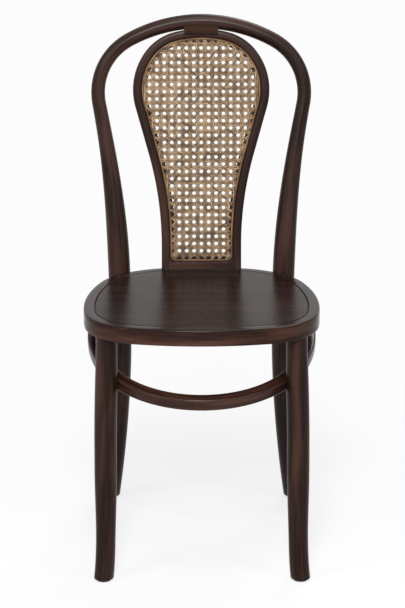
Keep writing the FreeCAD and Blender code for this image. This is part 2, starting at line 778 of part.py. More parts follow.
def glide_parts(centre):
    """Plastic glide and its nail under a foot at the given centre."""
    disc = Part.makeCylinder(GLIDE_RADIUS, GLIDE_HEIGHT, Vector(centre.x, centre.y, 0), Vector(0, 0, 1))
    disc = disc.makeChamfer(GLIDE_BEVEL, edges_at_height(disc, 0.0))
    head_z = NAIL_HEAD_RECESS
    up = Vector(0, 0, 1)
    head = cylinder(Vector(centre.x, centre.y, head_z), up, NAIL_HEAD_RADIUS, NAIL_HEAD_HEIGHT)
    shank = cylinder(Vector(centre.x, centre.y, head_z), up, NAIL_RADIUS, NAIL_LENGTH)
    nail = head.fuse(shank)
    recess = cylinder(Vector(centre.x, centre.y, -1.0), up, NAIL_HEAD_RADIUS, head_z + 1.0)
    return disc.cut(recess).cut(nail), nail


def build():
    """All pieces of the chair by name."""
    hoop = make_hoop_blank()
    front_leg = make_front_leg()
    rim = make_seat_rim().cut(hoop)
    panel = make_seat_panel()

    # Caned frame
    loop_flat = make_frame_loop_flat()
    loop = above_seat(stand(loop_flat))
    rail = above_seat(stand(make_frame_rail_flat(loop_flat)))
    cane = stand(make_cane_panel_flat())
    spline = stand(make_cane_spline_flat())

    # Spacer block, hollowed to the round hoop above it and the frame below it
    crown = hoop_crown()
    block = Part.makeBox(2.0 * SPACER_HALF_WIDTH, SPACER_DEPTH, SPACER_HEIGHT,
                         Vector(-SPACER_HALF_WIDTH, -SPACER_DEPTH / 2.0, -SPACER_HEIGHT))
    block.Placement = Placement(crown.add(hoop_down().multiply(5.0)),
                                Rotation(Vector(1, 0, 0), -math.degrees(HOOP_LEAN)))
    solid_loop = loop_flat.fuse(opening_block(FRAME_FACE, -20.0, 20.0))
    spacer = block.cut(hoop).cut(stand(solid_loop))

    # Spacer screws under wooden plugs
    down = hoop_down()
    plug_top = spacer_screw_start()
    plug = cylinder(plug_top, down, PLUG_RADIUS, PLUG_LENGTH + 1.0)
    head_face = plug_top.add(Vector(down).multiply(PLUG_LENGTH + 1.0))
    spacer_screw = screw(head_face, down, 34.0)
    spacer_screws = both_sides(spacer_screw)
    plug_blanks = both_sides(plug)
    plugs = Part.makeCompound([solid.common(hoop) for solid in plug_blanks.Solids])

    # Dowels and screws of the caned frame
    foot_x = FRAME_HALF_WIDTH - (FRAME_FACE + FRAME_LIP) / 2.0
    dowel = cylinder(Vector(foot_x, FRAME_BASE_Y, SEAT_HEIGHT - DOWEL_LENGTH / 2.0),
                     Vector(0, 0, 1), DOWEL_RADIUS, DOWEL_LENGTH)
    dowels = both_sides(dowel)
    joint_x = FRAME_HALF_WIDTH - FRAME_FACE - FRAME_LIP
    rail_dowel = stand(cylinder(Vector(joint_x - RAIL_DOWEL_LENGTH / 2.0, RAIL_HEIGHT / 2.0 + 1.0, -2.5),
                                Vector(1, 0, 0), RAIL_DOWEL_RADIUS, RAIL_DOWEL_LENGTH))
    rail_dowels = both_sides(rail_dowel)
    rail_screw = screw(Vector(RAIL_SCREW_X, FRAME_BASE_Y, UNDERSIDE), Vector(0, 0, 1), RAIL_SCREW_LENGTH)
    rail_screws = both_sides(rail_screw)

    # Rear bolts, their washers and nuts
    leg_centre, inward = rear_bolt_line()
    outward = Vector(inward).multiply(-1.0)
    head_seat = leg_centre.add(Vector(outward).multiply(ROD_RADIUS_SEAT - BOLT_SEAT_DEPTH))
    corner_centre = seat_arc_centres()[3]
    flat_corner = Vector(corner_centre.x, corner_centre.y, leg_centre.z)
    rim_inner = flat_corner.add(Vector(outward).multiply(REAR_CORNER_RADIUS - RIM_WIDTH))
    washer_seat = rim_inner.add(Vector(outward).multiply(2.0))
    nut_seat = washer_seat.add(Vector(inward).multiply(WASHER_THICKNESS))
    bolt_length = head_seat.distanceToPoint(nut_seat) + NUT_HEIGHT + BOLT_POINT_PAST_NUT
    head_blank = cylinder(head_seat, outward, BOLT_HEAD_RADIUS, BOLT_HEAD_HEIGHT)
    far_edges = [edge for edge in head_blank.Edges
                 if edge.BoundBox.Center.distanceToPoint(head_seat) > BOLT_HEAD_HEIGHT - 0.1 and edge.Closed]
    bolt_head = head_blank.makeFillet(BOLT_HEAD_HEIGHT * 0.7, far_edges)
    bolt_shank = cylinder(head_seat, inward, BOLT_RADIUS, bolt_length)
    bolts = both_sides(bolt_head.fuse(bolt_shank))
    head_pocket = cylinder(head_seat, outward, BOLT_HEAD_RADIUS, 30.0)
    washer = cylinder(washer_seat, inward, WASHER_RADIUS, WASHER_THICKNESS).cut(bolt_shank)
    washers = both_sides(washer)
    washer_pocket = cylinder(washer_seat, inward, WASHER_RADIUS, 20.0)
    nuts = both_sides(hexagon_nut(nut_seat, inward))

    # Leg hoop, coped to the legs that it touches
    tenon = bow_tenon()
    tenons = both_sides(tenon)
    front_legs = both_sides(front_leg)
    bow = make_bow_blank().cut(hoop).cut(front_legs)
    bow = max(bow.Solids, key=lambda solid: solid.Volume)
    bow = bow.fuse(tenons)
    screw_start, screw_way = bow_screw_line()
    bow_screw = screw(screw_start, screw_way, 38.0)
    bow_screws = both_sides(bow_screw)

    # Lock screws through the rim into the front leg tenons
    leg_top = front_leg_top()
    front_corner = seat_arc_centres()[1]
    lock_z = UNDERSIDE + 10.0
    lock_way = Vector(leg_top.x - front_corner.x, leg_top.y - front_corner.y, 0)
    lock_way.normalize()
    lock_start = Vector(front_corner.x, front_corner.y, lock_z).add(
        Vector(lock_way).multiply(FRONT_CORNER_RADIUS - RIM_WIDTH))
    lock_screw = screw(lock_start, lock_way, 26.0)
    lock_screws = both_sides(lock_screw)

    # Sockets, holes and pockets
    hoop = hoop.cut(tenons).cut(spacer_screws).cut(plug_blanks)
    hoop = hoop.cut(both_sides(bolt_shank)).cut(both_sides(head_pocket))
    spacer = spacer.cut(spacer_screws)
    loop = loop.cut(spacer_screws).cut(dowels).cut(rail_dowels)
    rail = rail.cut(rail_dowels).cut(rail_screws)
    tenon_socket = cylinder(Vector(leg_top.x, leg_top.y, UNDERSIDE - 1.0), Vector(0, 0, 1),
                            LEG_TENON_RADIUS, LEG_TENON_LENGTH + 1.0)
    rim = rim.cut(both_sides(tenon_socket)).cut(lock_screws).cut(dowels).cut(rail_screws)
    rim = rim.cut(both_sides(bolt_shank)).cut(both_sides(washer_pocket))
    bow = bow.cut(bow_screws)
    legs = {}
    for name, side in SIDES:
        leg = front_leg if side > 0 else mirrored(front_leg)
        legs[name] = leg.cut(bow_screws).cut(lock_screws)

    # Glides under the four feet
    glides = {}
    nails = []
    for row_name, foot in (("front", front_leg_point(GLIDE_HEIGHT)), ("rear", rear_leg_point(GLIDE_HEIGHT))):
        for name, side in SIDES:
            glide, nail = glide_parts(Vector(side * foot.x, foot.y, 0))
            glides["glide_" + row_name + "_" + name] = glide
            nails.append(nail)
            if row_name == "front":
                legs[name] = legs[name].cut(nail)
            else:
                hoop = hoop.cut(nail)

    pieces = {
        "back_hoop": hoop,
        "hoop_spacer": spacer,
        "spacer_screws": spacer_screws,
        "spacer_plugs": plugs,
        "cane_frame_loop": loop,
        "cane_frame_rail": rail,
        "cane_panel": cane,
        "cane_spline": spline,
        "frame_foot_dowels": dowels,
        "rail_dowels": rail_dowels,
        "rail_screws": rail_screws,
        "seat_rim": rim,
        "seat_panel": panel,
        "front_leg_left": legs["left"],
        "front_leg_right": legs["right"],
        "leg_lock_screws": lock_screws,
        "rear_leg_bolts": bolts,
        "bolt_washers": washers,
        "bolt_nuts": nuts,
        "leg_hoop": bow,
        "leg_hoop_screws": bow_screws,
        "glide_nails": Part.makeCompound(nails),
    }
    pieces.update(glides)
    return pieces


def main():
    """Write one STEP file for each named piece and print what it measures."""
    os.makedirs("parts", exist_ok=True)
    for name, shape in build().items():
        shape.translate(Vector(0, -SEAT_SETBACK, 0))
        box = shape.BoundBox
        print("%-20s solids %d valid %s volume %.0f x %.1f..%.1f y %.1f..%.1f z %.1f..%.1f" % (
            name, len(shape.Solids), shape.isValid(), shape.Volume,
            box.XMin, box.XMax, box.YMin, box.YMax, box.ZMin, box.ZMax))
        shape.exportStep("parts/%s.step" % name)


main()
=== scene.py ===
"""Looks of a bentwood bistro chair with a caned back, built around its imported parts.

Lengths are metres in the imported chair's frame: X runs across, the sitter faces -Y and Z is up.
"""

import logging
import math
from dataclasses import dataclass, field
from enum import Enum

import bpy
import numpy as np
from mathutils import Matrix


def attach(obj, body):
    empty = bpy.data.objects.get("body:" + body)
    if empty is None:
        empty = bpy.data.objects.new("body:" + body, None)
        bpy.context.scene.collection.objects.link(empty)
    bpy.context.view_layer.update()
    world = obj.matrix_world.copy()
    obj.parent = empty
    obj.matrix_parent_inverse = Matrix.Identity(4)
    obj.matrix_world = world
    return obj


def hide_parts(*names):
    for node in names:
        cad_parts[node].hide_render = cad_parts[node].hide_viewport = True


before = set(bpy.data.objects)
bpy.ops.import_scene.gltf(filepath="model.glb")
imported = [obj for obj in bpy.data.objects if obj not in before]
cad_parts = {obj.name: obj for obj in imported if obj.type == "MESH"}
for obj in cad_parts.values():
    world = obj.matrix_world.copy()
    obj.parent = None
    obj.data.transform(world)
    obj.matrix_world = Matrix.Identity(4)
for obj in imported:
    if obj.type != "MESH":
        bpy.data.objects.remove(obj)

log = logging.getLogger("bistro_chair")

Array = np.ndarray
Colour = tuple[float, float, float]
Triple = tuple[float, float, float]
Band = tuple[float, ...]
Material = bpy.types.Material

BODY = "root"
GRAIN = "grain"
SEAT_SETBACK = 0.0443
SEAT_HEIGHT = 0.455
RIM_UNDERSIDE = 0.4262
QUARTER_TURN = math.pi / 2.0
TOWARDS_SITTER = np.array([0.0, -1.0, 0.0])
MIRROR = np.array([-1.0, 1.0])
WHITE = (1.0, 1.0, 1.0, 1.0)
DISPLAY_GAMMA = 2.2
HAIR = 1e-6


def smooth(value: Array) -> Array:
    """Gentle rise from 0 to 1: v * v * (3 - 2 v) with v held between 0 and 1."""
    value = np.clip(value, 0.0, 1.0)
    return value * value * (3.0 - 2.0 * value)


def unit(vectors: Array) -> Array:
    """Vectors scaled to length 1 along their last axis."""
    return vectors / np.linalg.norm(vectors, axis=-1, keepdims=True)


def around(count: int) -> Array:
    """Angles of points spread evenly round a full turn."""
    return 2.0 * math.pi * np.arange(count) / count


def lengths_along(points: Array) -> Array:
    """Distance along a row of points, from 0 at the first."""
    steps = np.linalg.norm(np.diff(points, axis=0), axis=1)
    return np.concatenate([[0.0], np.cumsum(steps)])


def timber(along: Array, across: Array, through: Array) -> Array:
    """Grain coordinates of a grid, from three parts that broadcast to its shape."""
    return np.stack(np.broadcast_arrays(along, across, through), axis=-1)


def with_depth(flat: Array, depth: Array | float) -> Array:
    """Flat points (x, y) with a third coordinate that broadcasts to their grid."""
    return np.concatenate([flat, np.broadcast_to(depth, flat.shape[:-1])[..., None]], axis=-1)


def stained(red: int, green: int, blue: int) -> Colour:
    """Linear colour of a display colour given from 0 to 255."""
    return tuple((channel / 255.0) ** DISPLAY_GAMMA for channel in (red, green, blue))


# Surfaces and meshes


@dataclass
class Surface:
    """A grid of points that wraps round its second parameter.

    Attributes:
        grid: Points, one row for each place along the piece.
        grain: Timber coordinates of the same points: along, across and through.
        ring: True where the last row joins the first.
    """

    grid: Array
    grain: Array
    ring: bool = False

    def faces(self) -> tuple[Array, list[list[int]]]:
        """Quads between the rows, and end caps where the rows don't form a ring.

        Returns:
            The quads' corner indices and the caps' corner indices, all facing outwards.
        """
        rows, columns = self.grid.shape[:2]
        row, column = np.indices((rows if self.ring else rows - 1, columns)).reshape(2, -1)
        corner_rows = np.stack([row, row + 1, row + 1, row], axis=1) % rows
        corner_columns = np.stack([column, column, column + 1, column + 1], axis=1) % columns
        quads = corner_rows * columns + corner_columns
        caps = []
        if not self.ring:
            first = np.arange(columns)
            caps = [first, (rows - 1) * columns + first[::-1]]
        if self.volume(quads, caps) < 0.0:
            quads = quads[:, ::-1]
            caps = [cap[::-1] for cap in caps]
        return quads, [cap.tolist() for cap in caps]

    def volume(self, quads: Array, caps: list[Array]) -> float:
        """Six times the enclosed volume: the sum of a . (b x c) over the triangles.

        Args:
            quads: Corner indices of the quads.
            caps: Corner indices of each end cap.

        Returns:
            The signed volume, below zero where the faces point inwards.
        """
        points = self.grid.reshape(-1, 3)
        triangles = [quads[:, [0, 1, 2]], quads[:, [0, 2, 3]]]
        for cap in caps:
            triangles.append(np.stack([np.full(len(cap) - 2, cap[0]), cap[1:-1], cap[2:]], axis=1))
        corners = points[np.concatenate(triangles)]
        return float(np.sum(corners[:, 0] * np.cross(corners[:, 1], corners[:, 2])))


def make_piece(name: str, surfaces: list[Surface], material: Material,
               stands_for: tuple[str, ...] = (), crease: float = 40.0) -> bpy.types.Object:
    """One mesh object from several closed surfaces, riding on the chair.

    Args:
        name: Name of the new piece.
        surfaces: Closed surfaces in the chair's frame.
        material: Finish of the whole piece.
        stands_for: CAD nodes that the piece replaces.
        crease: Angle in degrees above which an edge stays sharp.

    Returns:
        The new object, at the origin.
    """
    points = []
    grains = []
    polygons = []
    offset = 0
    for surface in surfaces:
        quads, caps = surface.faces()
        polygons += (quads + offset).tolist()
        polygons += [[index + offset for index in cap] for cap in caps]
        points.append(surface.grid.reshape(-1, 3))
        grains.append(surface.grain.reshape(-1, 3))
        offset += len(points[-1])
    mesh = bpy.data.meshes.new(name)
    mesh.from_pydata(np.concatenate(points).tolist(), [], polygons)
    layer = mesh.attributes.new(GRAIN, "FLOAT_VECTOR", "POINT")
    layer.data.foreach_set("vector", np.concatenate(grains).astype(np.float32).ravel())
    mesh.materials.append(material)
    mesh.shade_smooth()
    mesh.set_sharp_from_angle(angle=math.radians(crease))
    mesh.validate()
    piece = bpy.data.objects.new(name, mesh)
    bpy.context.scene.collection.objects.link(piece)
    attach(piece, BODY)
    if stands_for:
        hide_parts(*stands_for)
    log.info("%s: %d faces, stands for %s", name, len(mesh.polygons), ", ".join(stands_for) or "nothing")
    return piece


def dress(nodes: tuple[str, ...], material: Material) -> None:
    """Give CAD nodes that stay visible their finish.

    Args:
        nodes: Names of the nodes.
        material: Their finish.
    """
    for name in nodes:
        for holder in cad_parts[name].material_slots:
            holder.material = material
        log.info("%s: dressed with %s", name, material.name)


def rod_surface(points: Array, radii: Array, level: Array, sides: int = 40) -> Surface:
    """Round rod: P(s) + r(s) (cos a F + sin a G), with F and G square to the centreline.

    Args:
        points: Centreline, one row for each station.
        radii: Radius at each station.
        level: Share from 0 to 1 by which a section lies level instead of square to the rod.
        sides: Points round each section.

    Returns:
        The rod's closed surface.
    """
    tangent = unit(np.gradient(points, lengths_along(points), axis=0))
    forward = unit(TOWARDS_SITTER - (tangent @ TOWARDS_SITTER)[:, None] * tangent)
    sideways = np.cross(tangent, forward)
    across = radii[:, None] * np.cos(around(sides))
    through = radii[:, None] * np.sin(around(sides))
    grid = points[:, None] + across[..., None] * forward[:, None] + through[..., None] * sideways[:, None]
    steep = np.where(level > 0.0, tangent[:, 2], 1.0)
    rise = (points[:, None, 2] - grid[..., 2]) / steep[:, None]
    grid += (level[:, None] * rise)[..., None] * tangent[:, None]
    return Surface(grid, timber(lengths_along(points)[:, None], across, through))


def profile_surface(points: Array, across: Array, through: Array, profile: Array,
                    ring: bool = False) -> Surface:
    """Profile carried along a path: P(s) + u A(s) + v B(s) for each profile point (u, v).

    Args:
        points: Path, one row for each station.
        across: Direction A at each station.
        through: Direction B at each station.
        profile: Closed outline of the section as rows (u, v).
        ring: True where the path is closed.

    Returns:
        The closed surface.
    """
    grid = (points[:, None] + profile[None, :, :1] * across[:, None]
            + profile[None, :, 1:] * through[:, None])
    return Surface(grid, timber(lengths_along(points)[:, None], profile[:, 0], profile[:, 1]), ring)


def eased_outline(corners: list[tuple[float, float, float]], steps: int = 5) -> Array:
    """Closed outline whose corners are eased with a parabola.

    A corner P becomes (1-t)^2 A + 2 t (1-t) P + t^2 B, where A and B lie its cut before and after it.

    Args:
        corners: Rows (u, v, cut), where cut is how far from the corner the easing starts.
        steps: Points on each eased corner.

    Returns:
        Rows (u, v).
    """
    table = np.array(corners)
    place = table[:, :2]
    cut = table[:, 2:]
    before = place + cut * unit(np.roll(place, 1, axis=0) - place)
    after = place + cut * unit(np.roll(place, -1, axis=0) - place)
    t = np.linspace(0.0, 1.0, steps)[None, :, None]
    curve = (1 - t) ** 2 * before[:, None] + 2 * t * (1 - t) * place[:, None] + t ** 2 * after[:, None]
    outline = curve.reshape(-1, 2)
    gap = np.linalg.norm(outline - np.roll(outline, 1, axis=0), axis=1)
    return outline[gap > HAIR]


def finely_divided(outline: Array, spacing: float) -> Array:
    """Closed outline with extra points on its long sides, so that shading stays even.

    Args:
        outline: Rows (u, v).
        spacing: Distance above which a side is divided.

    Returns:
        Rows (u, v).
    """
    pieces = []
    for start, end in zip(outline, np.roll(outline, -1, axis=0)):
        count = max(1, int(np.linalg.norm(end - start) / spacing))
        share = np.arange(count)[:, None] / count
        pieces.append(start + (end - start) * share)
    return np.concatenate(pieces)


# Flat paths of straights and arcs


@dataclass
class FlatPath:
    """Sampled path in a flat drawing, with the direction that points out of the bend."""

    points: Array
    outward: Array

    def inset(self, depth: float) -> Array:
        """Points moved inwards by depth."""
        return self.points - depth * self.outward

    def with_mirror_image(self) -> "FlatPath":
        """This right-hand half followed by its mirror image, back to where it began."""
        return FlatPath(np.concatenate([self.points, (self.points * MIRROR)[::-1][1:]]),
                        np.concatenate([self.outward, (self.outward * MIRROR)[::-1][1:]]))


@dataclass
class Trail:
    """Chain of tangent straights and arcs; heading 0 is along y and a positive turn bends to +x.

    At the share s of a run of length L that turns by T, the place is the end of the chord
    L s sinc(T s / 2), whose heading is h + T s / 2.
    """

    x: float
    y: float
    heading: float
    runs: list[tuple[float, ...]] = field(default_factory=list)

    @staticmethod
    def walk(run: tuple[float, ...], share: Array) -> Array:
        """Places at the given shares of a run (x, y, heading, length, turn).

        Args:
            run: The run.
            share: Shares of its length.

        Returns:
            Rows (x, y).
        """
        x, y, heading, length, turn = run
        half = 0.5 * turn * share
        chord = length * share * np.sinc(half / math.pi)
        return np.stack([x + chord * np.sin(heading + half), y + chord * np.cos(heading + half)], axis=-1)

    def go(self, length: float, turn: float = 0.0) -> "Trail":
        """Add a run at the end of the trail.

        Args:
            length: Length of the run.
            turn: Angle by which it turns.

        Returns:
            The trail itself.
        """
        self.runs.append((self.x, self.y, self.heading, length, turn))
        self.x, self.y = self.walk(self.runs[-1], np.array(1.0))
        self.heading += turn
        return self

    def arc(self, radius: float, turn: float) -> "Trail":
        """Add an arc of a radius that turns by an angle."""
        return self.go(radius * abs(turn), turn)

    def to_middle(self) -> "Trail":
        """Add the arc that reaches x = 0 square to the middle line."""
        remaining = QUARTER_TURN + self.heading
        return self.arc(self.x / math.sin(remaining), -remaining)

    def sampled(self, spacing: float) -> FlatPath:
        """The trail as a row of points.

        Args:
            spacing: Largest distance between points.

        Returns:
            The sampled path.
        """
        points = []
        outward = []
        for run in self.runs:
            heading, length, turn = run[2:]
            share = np.linspace(0.0, 1.0, max(2, math.ceil(length / spacing)) + 1)[1 if points else 0:]
            now = heading + turn * share
            points.append(self.walk(run, share))
            outward.append(np.stack([np.cos(now), -np.sin(now)], axis=-1))
        return FlatPath(np.concatenate(points), np.concatenate(outward))


# Shader sums


@dataclass(frozen=True)
class Wire:
    """Output of a shader node that takes part in Python sums."""

    shader: "Shader"
    socket: bpy.types.NodeSocket

    def __add__(self, other: "Wire | float") -> "Wire":
        """This plus another."""
        return self.shader.sum("ADD", self, other)

    def __sub__(self, other: "Wire | float") -> "Wire":
        """This less another."""
        return self.shader.sum("SUBTRACT", self, other)

    def __mul__(self, other: "Wire | float") -> "Wire":
        """This times another."""
        return self.shader.sum("MULTIPLY", self, other)

    def __rsub__(self, other: float) -> "Wire":
        """A number less this."""
        return self.shader.sum("SUBTRACT", other, self)

    __radd__ = __add__
    __rmul__ = __mul__


class Shader:
    """Node tree of one material or world under construction."""

    def __init__(self, owner: Material | bpy.types.World) -> None:
        """Start an empty tree on its owner."""
        owner.use_nodes = True
        self.tree = owner.node_tree
        self.tree.nodes.clear()

    def node(self, kind: str, settings: dict[str, object],
             sockets: dict[str | int, object]) -> bpy.types.Node:
        """Add a node, set its settings first and then the values or links of its sockets.

        Args:
            kind: Blender's node type.
            settings: Attributes of the node.
            sockets: Input sockets by name or number, each a Wire or a plain value.

        Returns:
            The new node.
        """
        made = self.tree.nodes.new(kind)
        for name, value in settings.items():
            setattr(made, name, value)
        for name, value in sockets.items():
            if isinstance(value, Wire):
                self.tree.links.new(value.socket, made.inputs[name])
            else:
                made.inputs[name].default_value = value
        return made

    def wire(self, kind: str, settings: dict[str, object], sockets: dict[str | int, object],
             output: str | int = 0) -> Wire:
        """One output of a new node."""
        return Wire(self, self.node(kind, settings, sockets).outputs[output])

    def sum(self, operation: str, first: Wire | float, second: Wire | float) -> Wire:
        """Math node on two values."""
        return self.wire("ShaderNodeMath", {"operation": operation}, {0: first, 1: second})

    def ramp(self, value: Wire, low: float, high: float, start: float = 0.0, end: float = 1.0) -> Wire:
        """Smooth rise from start to end while the value goes from low to high: a Band's four numbers."""
        sockets = {"Value": value, "From Min": low, "From Max": high, "To Min": start, "To Max": end}
        return self.wire("ShaderNodeMapRange", {"interpolation_type": "SMOOTHSTEP"}, sockets)

    def blend(self, share: Wire | float, first: Wire | Colour, second: Wire | Colour) -> Wire:
        """Mix of two colours: (1 - share) first + share second."""
        first, second = (end if isinstance(end, Wire) else (*end, 1.0) for end in (first, second))
        return self.wire("ShaderNodeMix", {"data_type": "RGBA"}, {0: share, 6: first, 7: second}, 2)

    def stretched(self, place: Wire, scale: Triple, shift: Triple = (0.0, 0.0, 0.0),
                  turn: Triple = (0.0, 0.0, 0.0)) -> Wire:
        """Coordinates turned, scaled and moved."""
        sockets = {"Vector": place, "Location": shift, "Rotation": turn, "Scale": scale}
        return self.wire("ShaderNodeMapping", {}, sockets)

    def noise(self, place: Wire, scale: Triple, detail: float, roughness: float,
              shift: Triple = (0.0, 0.0, 0.0)) -> Wire:
        """Noise from 0 to 1 with its own scale along each axis, moved apart from others by its shift."""
        sockets = {"Vector": self.stretched(place, scale, shift), "Scale": 1.0, "Detail": detail,
                   "Roughness": roughness}
        return self.wire("ShaderNodeTexNoise", {}, sockets, "Fac")

    def attribute(self, name: str) -> Wire:
        """A vector stored on the mesh."""
        return self.wire("ShaderNodeAttribute", {"attribute_name": name}, {}, "Vector")

    def part(self, vector: Wire, axis: str) -> Wire:
        """One coordinate of a vector."""
        return self.wire("ShaderNodeSeparateXYZ", {}, {0: vector}, axis)

    def object_place(self) -> Wire:
        """Object coordinates, which are the chair's own frame."""
        return self.wire("ShaderNodeTexCoord", {}, {}, "Object")

    def bump(self, height: Wire, strength: float, distance: float) -> Wire:
        """Normal bent by a height."""
        return self.wire("ShaderNodeBump", {}, {"Height": height, "Strength": strength, "Distance": distance})

    def glow(self, kind: str, strength: float) -> Wire:
        """White emission or background of a strength."""
        return self.wire(kind, {}, {"Color": WHITE, "Strength": strength})

    def either(self, share: Wire, first: Wire, second: Wire) -> Wire:
        """Mix of two surfaces or lights."""
        return self.wire("ShaderNodeMixShader", {}, {0: share, 1: first, 2: second})

    def principled(self, **sockets: object) -> None:
        """Finish with a principled surface; underscores in names stand for spaces."""
        named = {name.replace("_", " "): value for name, value in sockets.items()}
        self.finish(self.wire("ShaderNodeBsdfPrincipled", {}, named))

    def finish(self, surface: Wire, output: str = "ShaderNodeOutputMaterial") -> None:
        """Connect the surface to the output."""
        self.node(output, {}, {"Surface": surface})


# Finishes


class GrainSource(Enum):
    """Where a wooden piece takes the direction of its grain from."""

    BENT = "along the bend"
    ACROSS_SEAT = "object x"
    UPRIGHT = "object z"


@dataclass(frozen=True)
class Finish:
    """A finish that makes a material of its name."""

    name: str

    def make(self) -> Material:
        """Make the material and paint it."""
        material = bpy.data.materials.new(self.name)
        self.paint(Shader(material))
        return material

    def paint(self, shader: Shader) -> None:
        """Build the node tree; each finish has its own."""
        raise NotImplementedError


@dataclass(frozen=True)
class StainedBeech(Finish):
    """Steam-bent beech under a dark walnut stain and a satin lacquer.

    Attributes:
        gloss: Roughness of the lacquer.
        shine: Its specular level.
        relief: Strength of the grain's relief.
        streak: How much the streaks show, from 0 to 1.
        painted_shade_above: Height above which the top is painted darker as shade, where there is one.
        noises: Scale, detail, roughness and shift of the streaks, threads, clouds and pores.
    """

    source: GrainSource
    deep: Colour = stained(24, 14, 11)
    body: Colour = stained(41, 27, 22)
    warm: Colour = stained(68, 47, 40)
    gloss: float = 0.32
    shine: float = 0.13
    relief: float = 0.16
    streak: float = 1.0
    painted_shade_above: float | None = None
    painted_shade_fade: float = 0.003
    painted_shade_share: float = 0.8
    noises: tuple[tuple, ...] = (
        ((9.0, 420.0, 420.0), 3.0, 0.6, (0.0, 0.0, 0.0)),
        ((26.0, 1500.0, 1500.0), 2.0, 0.5, (3.1, 0.0, 0.0)),
        ((4.5, 45.0, 45.0), 2.0, 0.5, (0.0, 7.3, 1.9)),
        ((140.0, 2600.0, 2600.0), 1.0, 0.4, (0.0, 0.0, 0.0)),
    )
    streak_band: Band = (0.3, 0.7)
    cloud_band: Band = (0.42, 0.72, 0.0, 0.75)
    thread_band: Band = (0.45, 0.75, 0.0, 0.22)
    pore_band: Band = (0.6, 0.72)
    pore_share: float = 0.45
    gloss_band: Band = (0.2, 0.8)
    gloss_change: tuple[float, float] = (-0.04, 0.06)
    groove_shares: Triple = (0.5, 0.35, 0.4)
    relief_depth: float = 0.00025

    def paint(self, shader: Shader) -> None:
        """Dark wood with fine streaks, threads, short pores and stain clouds.

        Args:
            shader: The material's node tree.
        """
        place = self.timber_place(shader)
        streaks, threads, clouds, pores = (shader.noise(place, *noise) for noise in self.noises)
        pores = shader.ramp(pores, *self.pore_band)
        half = 0.5 * self.streak
        tone = shader.blend(shader.ramp(streaks, *self.streak_band, 0.5 - half, 0.5 + half),
                            self.deep, self.body)
        tone = shader.blend(shader.ramp(clouds, *self.cloud_band), tone, self.warm)
        tone = shader.blend(shader.ramp(threads, *self.thread_band), tone, self.warm)
        tone = shader.blend(pores * self.pore_share, tone, self.deep)
        # Painted shade: above this height the top is blended towards the deep tone, darker than the faces
        # below it.
        if self.painted_shade_above is not None:
            height = shader.part(shader.object_place(), "Z")
            start = self.painted_shade_above - self.painted_shade_fade
            darker = shader.ramp(height, start, self.painted_shade_above, end=self.painted_shade_share)
            tone = shader.blend(darker, tone, self.deep)
        smoother, rougher = (self.gloss + change * self.streak for change in self.gloss_change)
        by_streak, by_thread, by_pore = self.groove_shares
        grooves = streaks * by_streak + threads * by_thread - pores * by_pore
        roughness = shader.ramp(streaks, *self.gloss_band, smoother, rougher)
        shader.principled(Base_Color=tone, Roughness=roughness, Specular_IOR_Level=self.shine,
                          Normal=shader.bump(grooves, self.relief, self.relief_depth))

    def timber_place(self, shader: Shader) -> Wire:
        """Coordinates whose x runs along the grain.

        Args:
            shader: The material's node tree.

        Returns:
            A vector.
        """
        if self.source is GrainSource.BENT:
            return shader.attribute(GRAIN)
        if self.source is GrainSource.UPRIGHT:
            return shader.stretched(shader.object_place(), (1.0, 1.0, 1.0), turn=(0.0, QUARTER_TURN, 0.0))
        return shader.object_place()


@dataclass(frozen=True)
class SplitCane(Finish):
    """Split rattan cane, each strand with its own tone, and darker edges that are partly the cut edges' own
    colour and partly painted shade between strands.
    """

    pale: Colour = stained(178, 150, 116)
    tan: Colour = stained(118, 94, 70)
    brown: Colour = stained(36, 25, 19)
    strand_scale: Triple = (14.0, 31.0, 0.0)
    fibre_scale: Triple = (60.0, 4200.0, 0.0)
    patch_scale: Triple = (55.0, 55.0, 55.0)
    strand_band: Band = (0.35, 0.65)
    patch_band: Band = (0.45, 0.7, 0.0, 0.6)
    fibre_band: Band = (0.5, 0.8, 0.0, 0.4)
    edge_and_shade_band: Band = (0.15, 0.46, 0.0, 0.95)
    roughness: float = 0.42
    shine: float = 0.15
    relief: float = 0.4
    relief_depth: float = 0.0002

    def paint(self, shader: Shader) -> None:
        """Long fibres, a tone for each strand, brown patches, and dark edges that are partly cut edges and
        partly painted shade between strands.

        Args:
            shader: The material's node tree.
        """
        place = shader.attribute(GRAIN)
        strand = shader.noise(place, self.strand_scale, detail=1.0, roughness=0.5)
        patches = shader.noise(shader.object_place(), self.patch_scale, detail=3.0, roughness=0.6)
        fibres = shader.noise(place, self.fibre_scale, detail=2.0, roughness=0.6)
        # Edge darkening: partly the cut edges' own colour, partly painted shade in the gaps between strands.
        edge = shader.sum("ABSOLUTE", shader.part(place, "Z"), 0.0)
        tone = shader.blend(shader.ramp(strand, *self.strand_band), self.tan, self.pale)
        for value, band in ((patches, self.patch_band), (fibres, self.fibre_band), (edge, self.edge_and_shade_band)):
            tone = shader.blend(shader.ramp(value, *band), tone, self.brown)
        shader.principled(Base_Color=tone, Roughness=self.roughness, Specular_IOR_Level=self.shine,
                          Normal=shader.bump(fibres, self.relief, self.relief_depth))


